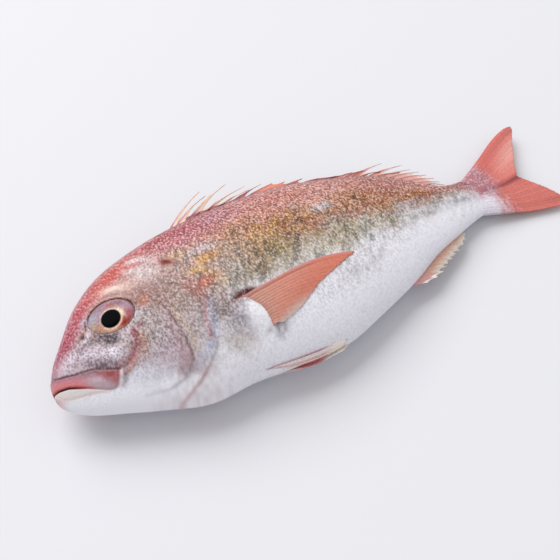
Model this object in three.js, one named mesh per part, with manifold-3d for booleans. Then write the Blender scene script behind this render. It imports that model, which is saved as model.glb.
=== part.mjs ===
// A whole raw sea bream that lies on its right flank, in millimetres.
// X runs from the snout to the tail, Y from the belly to the back, and Z up from the right flank to the left.
// Body, head and fins are one solid. Each eye is a ball of its own, set in its socket.
import * as THREE from 'three';
import { mergeVertices } from 'three/addons/utils/BufferGeometryUtils.js';
import Module from 'manifold-3d';

const wasm = await Module();
wasm.setup();

// Stations down the body: place behind the snout, back, belly, half the width,
// and the share of the depth that lies below the widest level
const STATIONS = [
  [0, -5.4, -5.4, 0, 0.5],
  [5.4, 10.5, -15.9, 5.9, 0.5],
  [13.5, 20.5, -21.6, 9.2, 0.48],
  [27, 35.4, -28.1, 12.7, 0.46],
  [43.2, 45.9, -35.6, 15.9, 0.46],
  [64.8, 52.1, -44.0, 18.9, 0.47],
  [89.1, 54.8, -44.8, 21.3, 0.5],
  [113.4, 54.8, -48.1, 21.9, 0.53],
  [140.4, 53.7, -49.4, 20.5, 0.55],
  [167.4, 49.7, -42.7, 17.6, 0.55],
  [194.4, 42.4, -34.3, 13.5, 0.55],
  [216, 34.0, -25.4, 10, 0.54],
  [232.2, 22.1, -20.8, 7.6, 0.52],
  [245.7, 13.0, -17.0, 5.9, 0.5],
  [256.5, 11.3, -14.9, 4.9, 0.5],
  [270, 13.5, -15.7, 2.7, 0.5],
];
const BODY_LENGTH = STATIONS.at(-1)[0];
const BACK_ROUNDNESS = 0.88;
const BELLY_ROUNDNESS = 1.1;

// How the fish lies: its middle plane above the table, the tail's sag and the roll of the belly
const FLANK_HEIGHT = 19.2;
const TAIL_SAG = 14;
const SAG_START = 113.4;
const SAG_END = 283.5;
const SAG_POWER = 1.6;
const ROLL = THREE.MathUtils.degToRad(4);
const PRESSED_RIM = 0.8;

// Mesh of the body, with its rings closer together on the head
const RINGS = 46;
const SEGMENTS = 48;
const SNOUT_ROUNDING = 0.04;
const HEAD_RING_SHARE = 0.55;
const TAIL_RING_POWER = 2.6;

// Gill cover, a round plate about a point behind the eye, and the ridge on the cheek before it
const GILL_CENTRE = new THREE.Vector2(39.5, 1);
const GILL_RADIUS = 43;
const GILL_STEP = 1.7;
const GILL_TOP = THREE.MathUtils.degToRad(42);
const GILL_BOTTOM = THREE.MathUtils.degToRad(-112);
const GILL_SLIT = 0.7;
const GILL_SLIT_DEPTH = 3;
const CHEEK_CENTRE = new THREE.Vector2(38, -2);
const CHEEK_REACH = new THREE.Vector2(28, 29.5);
const CHEEK_POWER = 4;
const CHEEK_STEP = 0.8;

// Mouth, a slit that sinks from the snout to its corner, with the lips on both sides of it
const MOUTH_FRONT_Y = -4.1;
const MOUTH_CORNER = new THREE.Vector2(28.5, -19.8);
const MOUTH_ARCH = 2.3;
const MOUTH_GAP = 1.6;
const MOUTH_DEPTH = 4;
const LIP_TOP_Y = 4.9;
const LIP_TOP_FALL = 0.5;
const LIP_HEIGHT = 0.9;
const LIP_REAR = 31;

// Eye, a flattened ball whose middle lies inside the head
const EYE_PLACE = new THREE.Vector2(40.6, 15.2);
const EYE_RADII = new THREE.Vector3(11.6, 10.2, 7.5);
const EYE_DEPTH = 9.2;
const EYE_TILT = THREE.MathUtils.degToRad(-14);
const EYE_LEAN = THREE.MathUtils.degToRad(9);
const SOCKET_GAP = 0.35;

// Fins: the thickness of their rays and of the skin between them
const RAY_THICKNESS = 1.3;
const WEB_THICKNESS = 0.7;
const FIN_ROOT = 3;

// What is finer than this where the parts meet is smoothed away, and corners closer than the weld become one
const SMALLEST_STEP = 0.05;
const WELD = 0.02;

// A smooth curve through one column of the stations, drawn against the root of the place so that the snout is round
function throughStations(column) {
  const places = STATIONS.map((row) => Math.sqrt(row[0]));
  const values = STATIONS.map((row) => row[column]);
  const steps = places.slice(1).map((place, i) => place - places[i]);
  const rises = steps.map((step, i) => (values[i + 1] - values[i]) / step);
  const slopes = values.map((value, i) => {
    if (i === 0 || i === values.length - 1) return 0;
    return (rises[i - 1] * steps[i] + rises[i] * steps[i - 1]) / (steps[i - 1] + steps[i]);
  });
  slopes[0] = 2 * rises[0] - slopes[1];
  slopes[values.length - 1] = 2 * rises.at(-1) - slopes[values.length - 2];
  return (x) => {
    const place = Math.sqrt(THREE.MathUtils.clamp(x, 0, BODY_LENGTH));
    let i = 0;
    while (i < steps.length - 1 && place > places[i + 1]) i += 1;
    const t = (place - places[i]) / steps[i];
    const t2 = t * t;
    const t3 = t2 * t;
    return values[i] * (2 * t3 - 3 * t2 + 1) + values[i + 1] * (3 * t2 - 2 * t3)
      + steps[i] * (slopes[i] * (t3 - 2 * t2 + t) + slopes[i + 1] * (t3 - t2));
  };
}

const backAt = throughStations(1);
const bellyAt = throughStations(2);
const widthAt = throughStations(3);
const levelAt = throughStations(4);

function step(value, from, to) {
  return THREE.MathUtils.smoothstep(value, from, to);
}

function widestY(x) {
  return THREE.MathUtils.lerp(bellyAt(x), backAt(x), levelAt(x));
}

// Half the body's width at a place on the flank
function halfWidth(x, y) {
  const middle = widestY(x);
  const reach = y > middle ? backAt(x) - middle : middle - bellyAt(x);
  const cosine = THREE.MathUtils.clamp((y - middle) / Math.max(reach, 0.01), -1, 1);
  return widthAt(x) * flankShare(cosine);
}

function flankShare(cosine) {
  const roundness = THREE.MathUtils.lerp(BELLY_ROUNDNESS, BACK_ROUNDNESS, 0.5 + 0.5 * cosine);
  return Math.sqrt(Math.max(0, 1 - cosine * cosine)) ** roundness;
}

// Lays a point of the upright fish on the table, where what would sink in is pressed flat
function lay(point) {
  const sag = THREE.MathUtils.clamp((point.x - SAG_START) / (SAG_END - SAG_START), 0, 1);
  const y = point.y * Math.cos(ROLL) - point.z * Math.sin(ROLL);
  const rise = point.y * Math.sin(ROLL) + point.z * Math.cos(ROLL);
  let z = FLANK_HEIGHT - TAIL_SAG * sag ** SAG_POWER + rise;
  if (z < -PRESSED_RIM) z = 0;
  else if (z < PRESSED_RIM) z = (z + PRESSED_RIM) ** 2 / (4 * PRESSED_RIM);
  return new THREE.Vector3(point.x, y, z);
}

function mouthY(x) {
  const t = x / MOUTH_CORNER.x;
  return THREE.MathUtils.lerp(MOUTH_FRONT_Y, MOUTH_CORNER.y, t) + MOUTH_ARCH * 4 * t * (1 - t);
}

function lipTopY(x) {
  return LIP_TOP_Y - LIP_TOP_FALL * x;
}

// Height of the head's plates and lips over the plain body, at a place on the flank
function relief(x, y) {
  const fromGill = new THREE.Vector2(x, y).sub(GILL_CENTRE);
  const radius = fromGill.length();
  const angle = fromGill.angle() > Math.PI ? fromGill.angle() - 2 * Math.PI : fromGill.angle();
  const behind = step(angle, GILL_BOTTOM - 0.3, GILL_BOTTOM + 0.3) * (1 - step(angle, GILL_TOP - 0.3, GILL_TOP + 0.3));
  const cover = step(radius, GILL_RADIUS - 24, GILL_RADIUS - 1) * (1 - step(radius, GILL_RADIUS, GILL_RADIUS + 1.5));

  const across = Math.abs(x - CHEEK_CENTRE.x) / CHEEK_REACH.x;
  const down = Math.abs(y - CHEEK_CENTRE.y) / CHEEK_REACH.y;
  const edge = (across ** CHEEK_POWER + down ** CHEEK_POWER) ** (1 / CHEEK_POWER);
  const cheek = step(edge, 0.55, 0.95) * (1 - step(edge, 1, 1.12)) * step(x, 34, 50) * (1 - step(y, -2, 8));

  const lips = (1 - step(x, LIP_REAR, LIP_REAR + 4)) * step(x, 1, 6);
  const upperLip = step(y, mouthY(x) - 0.5, mouthY(x) + 0.5) * (1 - step(y, lipTopY(x) - 1, lipTopY(x) + 0.5));
  const lowerLip = step(y, mouthY(x) - 6, mouthY(x) - 4.5) * (1 - step(y, mouthY(x) - 1, mouthY(x)));
  return GILL_STEP * cover * behind + CHEEK_STEP * cheek + LIP_HEIGHT * lips * (upperLip + 0.7 * lowerLip);
}

// A solid from a closed shape, with corners that lie closer than the weld made one
function solidOf(geometry, weld) {
  const merged = mergeVertices(geometry, weld);
  const corners = [];
  for (let i = 0; i < merged.index.count; i += 3) {
    const [a, b, c] = [0, 1, 2].map((k) => merged.index.getX(i + k));
    if (a !== b && b !== c && c !== a) corners.push(a, b, c);
  }
  return new wasm.Manifold(new wasm.Mesh({
    numProp: 3,
    vertProperties: new Float32Array(merged.attributes.position.array),
    triVerts: new Uint32Array(corners),
  }));
}

// Moves every vertex of a three.js shape and gives back a solid
function reshape(geometry, place) {
  const position = geometry.attributes.position;
  const vertex = new THREE.Vector3();
  for (let i = 0; i < position.count; i += 1) {
    vertex.fromBufferAttribute(position, i);
    const moved = place(vertex, i);
    position.setXYZ(i, moved.x, moved.y, moved.z);
  }
  geometry.deleteAttribute('normal');
  geometry.deleteAttribute('uv');
  return solidOf(geometry, 1e-4);
}

// Body and head, a sphere stretched over the stations with its poles at the snout and the tail
function body() {
  const sphere = new THREE.SphereGeometry(1, SEGMENTS, RINGS);
  const columns = SEGMENTS + 1;
  return reshape(sphere, (vertex, index) => {
    const ring = Math.floor(index / columns) / RINGS;
    const angle = ((index % columns) % SEGMENTS) / SEGMENTS * 2 * Math.PI;
    const share = ring * ring / (ring + SNOUT_ROUNDING) * (1 + SNOUT_ROUNDING);
    const x = BODY_LENGTH * (HEAD_RING_SHARE * share + (1 - HEAD_RING_SHARE) * share ** TAIL_RING_POWER);
    const isPole = ring === 0 || ring === 1;
    const cosine = isPole ? 0 : Math.cos(angle);
    const middle = widestY(x);
    const y = middle + cosine * (cosine > 0 ? backAt(x) - middle : middle - bellyAt(x));
    const side = isPole ? 0 : -Math.sign(Math.round(Math.sin(angle) * 1e6));
    const width = widthAt(x) * flankShare(cosine) + relief(x, y) * Math.abs(Math.sin(angle));
    return lay(new THREE.Vector3(x, y, side * width));
  });
}

// A closed block bent so that its middle sheet follows a surface of u and v, both from 0 to 1
function blade(columns, rows, middle, thickness) {
  const nudge = 0.002;
  return reshape(new THREE.BoxGeometry(1, 1, 1, columns, rows, 1), (vertex) => {
    const u = Math.round((vertex.x + 0.5) * columns) / columns;
    const v = Math.round((vertex.y + 0.5) * rows) / rows;
    const alongU = middle(Math.min(u + nudge, 1), v).sub(middle(Math.max(u - nudge, 0), v));
    const alongV = middle(u, Math.min(v + nudge, 1)).sub(middle(u, Math.max(v - nudge, 0)));
    const across = alongU.cross(alongV).normalize();
    return lay(middle(u, v).addScaledVector(across, Math.sign(vertex.z) * thickness(u, v) / 2));
  });
}

// A fin with ridged rays: root and tip give the ends of the ray at u, and bow how far it curves
function fin({ rays, rows, root, tip, bow, notch = 0.06 }) {
  const ridge = (u) => Math.abs(Math.cos(Math.PI * u * (rays - 1))) ** 2;
  const middle = (u, v) => {
    const from = root(u);
    const to = tip(u);
    const reach = v * (1 - notch * (1 - ridge(u)));
    return from.lerp(to, reach).add(bow(u, reach));
  };
  const thickness = (u, v) => {
    const ray = THREE.MathUtils.lerp(WEB_THICKNESS, RAY_THICKNESS, ridge(u));
    return THREE.MathUtils.lerp(ray, WEB_THICKNESS * 0.8, v);
  };
  return blade(2 * (rays - 1), rows, middle, thickness);
}

const noBow = () => new THREE.Vector3();

// Spiny front of the dorsal fin, its first spines half raised and the rest laid along the back
function spinyDorsalFin() {
  return fin({
    rays: 12,
    rows: 4,
    notch: 0.3,
    root: (u) => {
      const x = THREE.MathUtils.lerp(90, 184, u);
      return new THREE.Vector3(x, backAt(x) - FIN_ROOT, 0);
    },
    tip: (u) => {
      const x = THREE.MathUtils.lerp(116, 203, u ** 0.85);
      const height = 17.5 * (1 - u) ** 3.2 + 4.5;
      return new THREE.Vector3(x, backAt(x) + height, 1.5 * Math.sin(9 * u));
    },
    bow: noBow,
  });
}

// Soft rear of the dorsal fin, whose longer front rays stand off the back as a tuft
function softDorsalFin() {
  return fin({
    rays: 10,
    rows: 3,
    notch: 0.2,
    root: (u) => {
      const x = THREE.MathUtils.lerp(190, 238, u);
      return new THREE.Vector3(x, backAt(x) - FIN_ROOT, 0);
    },
    tip: (u) => {
      const x = THREE.MathUtils.lerp(221, 250, u);
      const height = 12.5 * (1 - u) ** 1.4 + 3;
      return new THREE.Vector3(x, backAt(x) + height, 2 - 2 * u);
    },
    bow: noBow,
  });
}

// Tail fin, forked, with its two lobes set at a slight angle to each other
function tailFin() {
  return fin({
    rays: 17,
    rows: 6,
    notch: 0.04,
    root: (u) => {
      const w = 1 - 2 * u;
      return new THREE.Vector3(257 - 4 * w * w, -2.2 + 12 * w, 0);
    },
    tip: (u) => {
      const w = 1 - 2 * u;
      const lobe = w > 0 ? new THREE.Vector3(317, 31.5, -1) : new THREE.Vector3(312.5, -31, 1);
      return new THREE.Vector3(293.5, 0.8, 3).lerp(lobe, Math.abs(w) ** 0.92);
    },
    bow: (u, v) => {
      const w = 1 - 2 * u;
      const swell = Math.sin(Math.PI * v ** 1.5);
      return new THREE.Vector3(0, (w > 0 ? 3.3 : 1.8) * w * swell, 0);
    },
  });
}

// Pectoral fin, folded back along the flank; the right one is pressed between the flank and the table
function pectoralFin(side) {
  const lift = side > 0 ? 1.8 : 0.3;
  const rootLift = side > 0 ? 2.4 : 0.3;
  const onFlank = (x, y, out) => new THREE.Vector3(x, y, side * (halfWidth(x, y) + out));
  return fin({
    rays: 13,
    rows: 5,
    notch: 0.04,
    root: (v) => {
      const u = side > 0 ? 1 - v : v;
      return onFlank(94 + 12 * Math.sin(u * Math.PI / 2), -10 - 19.5 * u, -1.5);
    },
    tip: (v) => {
      const u = side > 0 ? 1 - v : v;
      return onFlank(164 - 50 * u, -13.1 - 17 * Math.sin(u * Math.PI / 2), side > 0 ? 0.8 : 0.2);
    },
    bow: (v, reach) => {
      const u = side > 0 ? 1 - v : v;
      const rise = lift * Math.sin(Math.PI * reach) + rootLift * Math.min(reach * 6, 1) * (1 - reach);
      return new THREE.Vector3(0, 3 * (1 - 2 * u) * Math.sin(Math.PI * reach), side * rise);
    },
  });
}

// Pelvic fin, folded shut against the belly beside the middle line
function pelvicFin(side) {
  return fin({
    rays: 6,
    rows: 4,
    notch: 0.05,
    root: (v) => {
      const u = side > 0 ? 1 - v : v;
      return new THREE.Vector3(94 + 5 * u, -43.5 - 1.5 * u, side * (4.5 - 2.5 * u));
    },
    tip: (v) => {
      const u = side > 0 ? 1 - v : v;
      return new THREE.Vector3(141 - 8 * u, -48.9 - 2.2 * u, side * (3.4 - 2.4 * u));
    },
    bow: (v, reach) => {
      const u = side > 0 ? 1 - v : v;
      const swell = Math.sin(Math.PI * Math.min(reach * 1.1, 1));
      return new THREE.Vector3(0, -(1 + 2.2 * u) * swell, side * 1.2 * (1 - u) * swell);
    },
  });
}

// Anal fin, folded back, its spines in front of the longer soft rays
function analFin() {
  return fin({
    rays: 11,
    rows: 3,
    notch: 0.12,
    root: (u) => {
      const x = THREE.MathUtils.lerp(235, 187, u);
      return new THREE.Vector3(x, bellyAt(x) + FIN_ROOT, 0);
    },
    tip: (u) => {
      const x = THREE.MathUtils.lerp(241, 206, u);
      const depth = 5 + 4.5 * Math.sin(Math.PI * u) + 1.5 * u;
      return new THREE.Vector3(x, bellyAt(x) - depth, -1.5);
    },
    bow: noBow,
  });
}

// Slit between the lips, a wedge that runs round the front of the snout from corner to corner
function mouthSlit() {
  const turns = 28;
  return reshape(new THREE.BoxGeometry(1, 1, 1, turns, 1, 1), (vertex) => {
    const turn = Math.round((vertex.x + 0.5) * turns) / turns * 2 - 1;
    const x = MOUTH_CORNER.x * turn * turn;
    const y = mouthY(x);
    const inside = vertex.z < 0;
    const front = 1 - Math.abs(turn) ** 0.5;
    const depth = inside ? -MOUTH_DEPTH * (1 - 0.6 * Math.abs(turn)) : 2;
    const width = Math.max(halfWidth(x, y) + (inside ? depth * (1 - front) : depth), inside ? 0.4 : 0);
    const forward = inside ? MOUTH_DEPTH : -2;
    const half = inside ? 0.25 : MOUTH_GAP / 2 * (1 - 0.5 * Math.abs(turn));
    const place = new THREE.Vector3(x + forward * front, y + Math.sign(vertex.y) * half, Math.sign(turn) * width);
    return lay(place);
  });
}

// Slit under the rear edge of a gill cover
function gillSlit(side) {
  const turns = 22;
  return reshape(new THREE.BoxGeometry(1, 1, 1, turns, 1, 1), (vertex) => {
    const along = Math.round((vertex.x + 0.5) * turns) / turns;
    const angle = THREE.MathUtils.lerp(GILL_TOP, GILL_BOTTOM + 0.25, side > 0 ? along : 1 - along);
    const inside = vertex.z < 0;
    const taper = Math.sin(Math.PI * Math.min(0.96, Math.max(0.04, along)));
    const wide = GILL_SLIT * (inside ? 0.3 : 1) * taper ** 0.5;
    const radius = GILL_RADIUS + (inside ? -1.2 : 0.8) + side * Math.sign(vertex.y) * side * wide;
    const x = GILL_CENTRE.x + radius * Math.cos(angle);
    const y = GILL_CENTRE.y + radius * Math.sin(angle);
    const surface = halfWidth(x, y);
    const out = inside ? -GILL_SLIT_DEPTH * taper : 2.5;
    const place = lay(new THREE.Vector3(x, y, side * surface));
    place.z += side * out * Math.cos(ROLL);
    return place;
  });
}

// An eyeball, or with a gap the hole that it sits in
function eyeball(side, gap) {
  const turn = new THREE.Euler(0, side * EYE_LEAN, EYE_TILT);
  return reshape(new THREE.SphereGeometry(1, 18, 10), (vertex) => {
    const radii = EYE_RADII.clone().addScalar(gap);
    const point = vertex.clone().multiply(radii).applyEuler(turn);
    return lay(point.add(new THREE.Vector3(EYE_PLACE.x, EYE_PLACE.y, side * EYE_DEPTH)));
  });
}

function shapeOf(solid) {
  const { vertProperties, triVerts } = solid.getMesh();
  const geometry = new THREE.BufferGeometry();
  geometry.setAttribute('position', new THREE.BufferAttribute(vertProperties, 3));
  geometry.setIndex(new THREE.BufferAttribute(triVerts, 1));
  return geometry;
}

function meshOf(name, solid, material) {
  const geometry = shapeOf(solid);
  geometry.computeVertexNormals();
  const mesh = new THREE.Mesh(geometry, material);
  mesh.name = name;
  return mesh;
}

function fish() {
  const fins = [spinyDorsalFin(), softDorsalFin(), tailFin(), analFin()];
  for (const side of [1, -1]) fins.push(pectoralFin(side), pelvicFin(side));
  let solid = body();
  for (const part of fins) solid = solid.add(part);
  solid = solid.subtract(mouthSlit());
  for (const side of [1, -1]) {
    solid = solid.subtract(gillSlit(side));
    solid = solid.subtract(eyeball(side, SOCKET_GAP));
  }
  const whole = solid.asOriginal().simplify(SMALLEST_STEP).decompose();
  const largest = whole.reduce((best, piece) => (piece.volume() > best.volume() ? piece : best));
  return solidOf(shapeOf(largest), WELD);
}

const SKIN = new THREE.MeshStandardMaterial({ color: '#d8a7a0', roughness: 0.35, metalness: 0.2 });
const EYE = new THREE.MeshStandardMaterial({ color: '#3a2220', roughness: 0.1, metalness: 0 });

const bream = new THREE.Group();
bream.add(meshOf('fish', fish(), SKIN));
bream.add(meshOf('eye_left', eyeball(1, 0), EYE));
bream.add(meshOf('eye_right', eyeball(-1, 0), EYE));

const box = new THREE.Box3().setFromObject(bream);
bream.position.set(-(box.min.x + box.max.x) / 2, -(box.min.y + box.max.y) / 2, 0);

export default bream;
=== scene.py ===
import math
import bpy
import numpy as np
from mathutils import Matrix, Vector


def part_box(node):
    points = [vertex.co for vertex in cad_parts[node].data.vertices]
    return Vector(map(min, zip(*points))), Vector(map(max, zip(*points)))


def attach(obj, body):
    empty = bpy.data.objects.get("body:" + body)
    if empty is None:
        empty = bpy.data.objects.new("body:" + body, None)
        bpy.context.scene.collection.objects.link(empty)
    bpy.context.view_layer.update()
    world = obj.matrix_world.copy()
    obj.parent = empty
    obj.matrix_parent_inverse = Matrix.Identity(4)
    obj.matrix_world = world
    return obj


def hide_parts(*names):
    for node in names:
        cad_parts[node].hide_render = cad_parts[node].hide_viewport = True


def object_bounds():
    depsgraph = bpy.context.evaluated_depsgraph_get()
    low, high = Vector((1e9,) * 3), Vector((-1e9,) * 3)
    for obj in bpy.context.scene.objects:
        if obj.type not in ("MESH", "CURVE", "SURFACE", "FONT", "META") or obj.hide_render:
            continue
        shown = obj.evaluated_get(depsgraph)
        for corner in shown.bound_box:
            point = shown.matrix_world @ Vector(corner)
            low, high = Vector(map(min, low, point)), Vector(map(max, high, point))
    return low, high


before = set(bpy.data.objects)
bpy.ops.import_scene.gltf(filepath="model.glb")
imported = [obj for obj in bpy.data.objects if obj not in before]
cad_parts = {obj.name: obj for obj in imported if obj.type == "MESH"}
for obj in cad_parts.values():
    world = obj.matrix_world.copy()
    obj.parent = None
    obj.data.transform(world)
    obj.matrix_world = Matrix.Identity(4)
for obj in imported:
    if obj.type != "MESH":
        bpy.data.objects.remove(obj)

cad_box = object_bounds()
MM = 0.001

# Where the fish lies
# A sea bream on its right flank: X runs from snout to tail, Y from belly to back, Z up through the flanks.
# Places on it are millimetres behind the snout, above its axis and out from its middle plane.
FLANK_HEIGHT = 19.2
TAIL_SAG = 14
SAG_START = 113.4
SAG_END = 283.5
SAG_POWER = 1.6
ROLL = math.radians(4)
PRESSED_RIM = 0.8
EYE_PLACE = (40.6, 15.2)
EYE_DEPTH = 9.2


def points(x, up, out):
    """Upright places: how far behind the snout, above the axis and out from the middle plane."""
    return np.stack(np.broadcast_arrays(x, up, out), -1)


def lay(place):
    """Lays upright places on the table, pressed flat where they would sink into it."""
    x, up, out = place[..., 0], place[..., 1], place[..., 2]
    sag = np.clip((x - SAG_START) / (SAG_END - SAG_START), 0, 1) ** SAG_POWER
    y = up * math.cos(ROLL) - out * math.sin(ROLL)
    z = FLANK_HEIGHT - TAIL_SAG * sag + up * math.sin(ROLL) + out * math.cos(ROLL)
    soft = (np.clip(z, -PRESSED_RIM, PRESSED_RIM) + PRESSED_RIM) ** 2 / (4 * PRESSED_RIM)
    return np.stack((x, y, np.where(z > PRESSED_RIM, z, soft)), -1)


eye_low, eye_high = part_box("eye_left")
eye_laid = lay(points(*EYE_PLACE, EYE_DEPTH))
FRAME_SHIFT = np.array((eye_low + eye_high) / 2) / MM - eye_laid
FRAME_SHIFT[2] = 0


def to_frame(laid):
    """Millimetres where the fish was laid, to metres in the shared frame."""
    return (laid + FRAME_SHIFT) * MM


def places_of(thing):
    flat = np.empty(len(thing.data.vertices) * 3, np.float32)
    thing.data.vertices.foreach_get("co", flat)
    return flat.reshape(-1, 3).astype(float)


def move_to(thing, places):
    thing.data.vertices.foreach_set("co", places.astype(np.float32).ravel())
    thing.data.update()


# Skin of the trunk and head
# One moist scaly skin over muscle and bone, deepest behind the gills and narrow before the tail.
# Its head carries the lips, the plates of the cheek and gill cover and the rims of the eyes.
STATIONS = (
    (0, -5.4, -5.4, 0, 0.5),
    (5.4, 10.5, -15.9, 5.9, 0.5),
    (13.5, 20.5, -21.6, 9.2, 0.48),
    (27, 35.4, -28.1, 12.7, 0.46),
    (43.2, 45.9, -35.6, 15.9, 0.46),
    (64.8, 52.1, -44.0, 18.9, 0.47),
    (89.1, 54.8, -44.8, 21.3, 0.5),
    (113.4, 54.8, -48.1, 21.9, 0.53),
    (140.4, 53.7, -49.4, 20.5, 0.55),
    (167.4, 49.7, -42.7, 17.6, 0.55),
    (194.4, 42.4, -34.3, 13.5, 0.55),
    (216, 34.0, -25.4, 10, 0.54),
    (232.2, 22.1, -20.8, 7.6, 0.52),
    (245.7, 13.0, -17.0, 5.9, 0.5),
    (256.5, 11.3, -14.9, 4.9, 0.5),
    (270, 13.5, -15.7, 2.7, 0.5),
)
BODY_LENGTH = STATIONS[-1][0]
BACK_ROUNDNESS = 0.88
BELLY_ROUNDNESS = 1.1
RINGS = 370
SEGMENTS = 260
UPPER_SEGMENTS = 165
HEAD_RING_SHARE = 0.6
TAIL_RING_POWER = 2.6
SNOUT_CROWDING = 0.02
EVEN_SHARE = 0.6


def through_stations(column):
    """A smooth curve through a column of the stations, over the root of X so that the snout is round."""
    places = np.sqrt([row[0] for row in STATIONS])
    values = np.array([row[column] for row in STATIONS], float)
    steps = np.diff(places)
    rises = np.diff(values) / steps
    slopes = np.empty_like(values)
    slopes[1:-1] = (rises[:-1] * steps[1:] + rises[1:] * steps[:-1]) / (steps[:-1] + steps[1:])
    slopes[0] = 2 * rises[0] - slopes[1]
    slopes[-1] = 2 * rises[-1] - slopes[-2]

    def curve(x):
        place = np.sqrt(np.clip(x, 0, BODY_LENGTH))
        i = np.clip(np.searchsorted(places, place) - 1, 0, len(steps) - 1)
        t = (place - places[i]) / steps[i]
        eased = t * t * (3 - 2 * t)
        rise = slopes[i] * (t ** 3 - 2 * t ** 2 + t) + slopes[i + 1] * (t ** 3 - t ** 2)
        return values[i] * (1 - eased) + values[i + 1] * eased + steps[i] * rise

    return curve


back_at, belly_at, width_at, level_at = (through_stations(column) for column in (1, 2, 3, 4))


def widest_at(x):
    return belly_at(x) + level_at(x) * (back_at(x) - belly_at(x))


def flank_share(cosine):
    roundness = BELLY_ROUNDNESS + (BACK_ROUNDNESS - BELLY_ROUNDNESS) * (0.5 + 0.5 * cosine)
    return np.sqrt(np.clip(1 - cosine ** 2, 0, 1)) ** roundness


def half_width(x, y):
    middle = widest_at(x)
    reach = np.where(y > middle, back_at(x) - middle, middle - belly_at(x))
    return width_at(x) * flank_share(np.clip((y - middle) / np.maximum(reach, 0.01), -1, 1))


def ramp(value, start, end):
    """0 before start, 1 after end and smooth between them."""
    t = np.clip((value - start) / (end - start), 0, 1)
    return t * t * (3 - 2 * t)


def blend(low, high, amount):
    return low + (high - low) * amount


def fade(value, start, end):
    """1 before start, 0 after end and smooth between them."""
    return 1 - ramp(value, start, end)


def between(value, start, full, last, end):
    """1 from full to last, 0 outside start and end, and smooth in the two gaps."""
    return ramp(value, start, full) * fade(value, last, end)


def hill(value, middle, width):
    """1 at the middle and less on both sides of it."""
    return np.exp(-((value - middle) / width) ** 2)


def across(x, y, line):
    """Distance from a line of points, and the side of it: above 0 on the left of its way."""
    best = np.full(x.shape, 1e9)
    side = np.zeros(x.shape)
    for (ax, ay), (bx, by) in zip(line, line[1:]):
        dx, dy = bx - ax, by - ay
        t = np.clip(((x - ax) * dx + (y - ay) * dy) / (dx * dx + dy * dy), 0, 1)
        away = np.hypot(x - ax - t * dx, y - ay - t * dy)
        turn = np.sign(dx * (y - ay) - dy * (x - ax))
        side = np.where(away < best, turn, side)
        best = np.minimum(best, away)
    return best, side


def crease(x, y, line, width):
    return hill(across(x, y, line)[0], 0, width)


def overlap(x, y, line, rise, reach):
    """A plate that ends in an edge along the line: it swells on the left of the line and drops at it."""
    away, side = across(x, y, line)
    signed = away * side
    return ramp(signed, -0.5, 0.3) * fade(signed, 0.5, reach) * rise


def oval(x, y, place, size, tilt):
    """0 in the middle of a tilted oval, 1 on its rim and more outside it."""
    dx, dy = x - place[0], y - place[1]
    turn = math.radians(tilt)
    return np.hypot((dx * math.cos(turn) + dy * math.sin(turn)) / size[0],
                    (dy * math.cos(turn) - dx * math.sin(turn)) / size[1])


def spot(x, y, place, size, tilt=0.0):
    """1 in the middle of a soft oval patch and 0 outside it."""
    return hill(oval(x, y, place, size, tilt), 0, 1)


MOUTH = ((-2, -3.8), (0.9, -3.9), (3.6, -4.5), (8.1, -6.3), (12.2, -9.0), (16.6, -12), (19.2, -13.9),
         (22.8, -16.6), (25.2, -17.7))
LOWER_LIP = ((0.3, -4.6), (3.5, -9), (6.8, -11.2), (11.1, -12.9), (15.3, -14.3), (20.4, -16.3),
             (24, -17.9))
LIP_GROOVE = ((-2, 4.9), (2.2, 3.2), (6.8, 0.6), (14.1, -2.7), (18.9, -3.9), (23, -5.5), (27.4, -8.5),
              (32.5, -11.5))
LIP_END = ((32.5, -11.5), (31.4, -14.1), (29.9, -16.6), (28.3, -18.2), (26, -18.2), (25.2, -17.7))
LIP_SEAM = ((18.3, -4.5), (21.8, -7.4), (24.4, -11), (26.2, -14.3))
CHEEK_EDGE = ((60, 15), (64.3, 4), (66, -7), (66.5, -14), (65.8, -21), (63, -27.5), (57, -31),
              (49.5, -31.4), (38, -28))
GILL_EDGE = ((77, 27), (79.5, 18), (82, 9), (84.4, 0), (85.6, -7), (85, -13.5), (81.5, -20.5), (76, -26.8),
             (70, -31.5), (63, -35.4), (54.3, -38), (47, -39.4))
GILL_FOLD = ((74, 14), (77.5, 8.5), (81.6, 2.8), (82.4, -1), (80.8, -5), (79.4, -9), (78.2, -13.2))
CHEEK_FOLD = ((46.6, 1), (46.2, -3.5), (44.4, -7), (40.9, -9.8), (37, -11.6), (33.5, -11.8))
SHOULDER_RIDGE = ((61, 41), (66, 39.4), (70, 36), (73.5, 31.5))
AXIL = ((95.4, -9.4), (98.5, -7.6), (102, -7.2), (106.5, -8.6), (110, -10.6), (104, -10.6))
FIN_LOBE_EDGE = ((96, -10.5), (102, -13), (106.5, -17.5), (107.8, -22.5), (106, -27.5), (101, -31))
SOCKET_RADII = (11.9, 9.3)
SOCKET_TILT = -14
SOCKET_DEPTH = 2.6


def within(x, y, outline, soft):
    """1 inside a closed outline, 0 outside it, with an edge as soft as said."""
    closed = outline + outline[:1]
    away = across(x, y, closed)[0]
    odd = np.zeros(x.shape, bool)
    for (ax, ay), (bx, by) in zip(closed, closed[1:]):
        if ay != by:
            odd ^= ((ay > y) != (by > y)) & (x < ax + (y - ay) * (bx - ax) / (by - ay))
    return ramp(np.where(odd, away, -away), -soft / 2, soft / 2)


UPPER_LIP = MOUTH + LIP_END[::-1][1:] + LIP_GROOVE[::-1][1:]
UNDER_LIP = MOUTH[1:-1] + LOWER_LIP[::-1]
UPPER_LIP_RISE = 0.7
UNDER_LIP_RISE = 0.5
MOUTH_DEPTH = 2.2
CHEEK_PLATE_RISE = 0.5
GILL_COVER_RISE = 0.7
AXIL_DEPTH = 1.7
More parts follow.
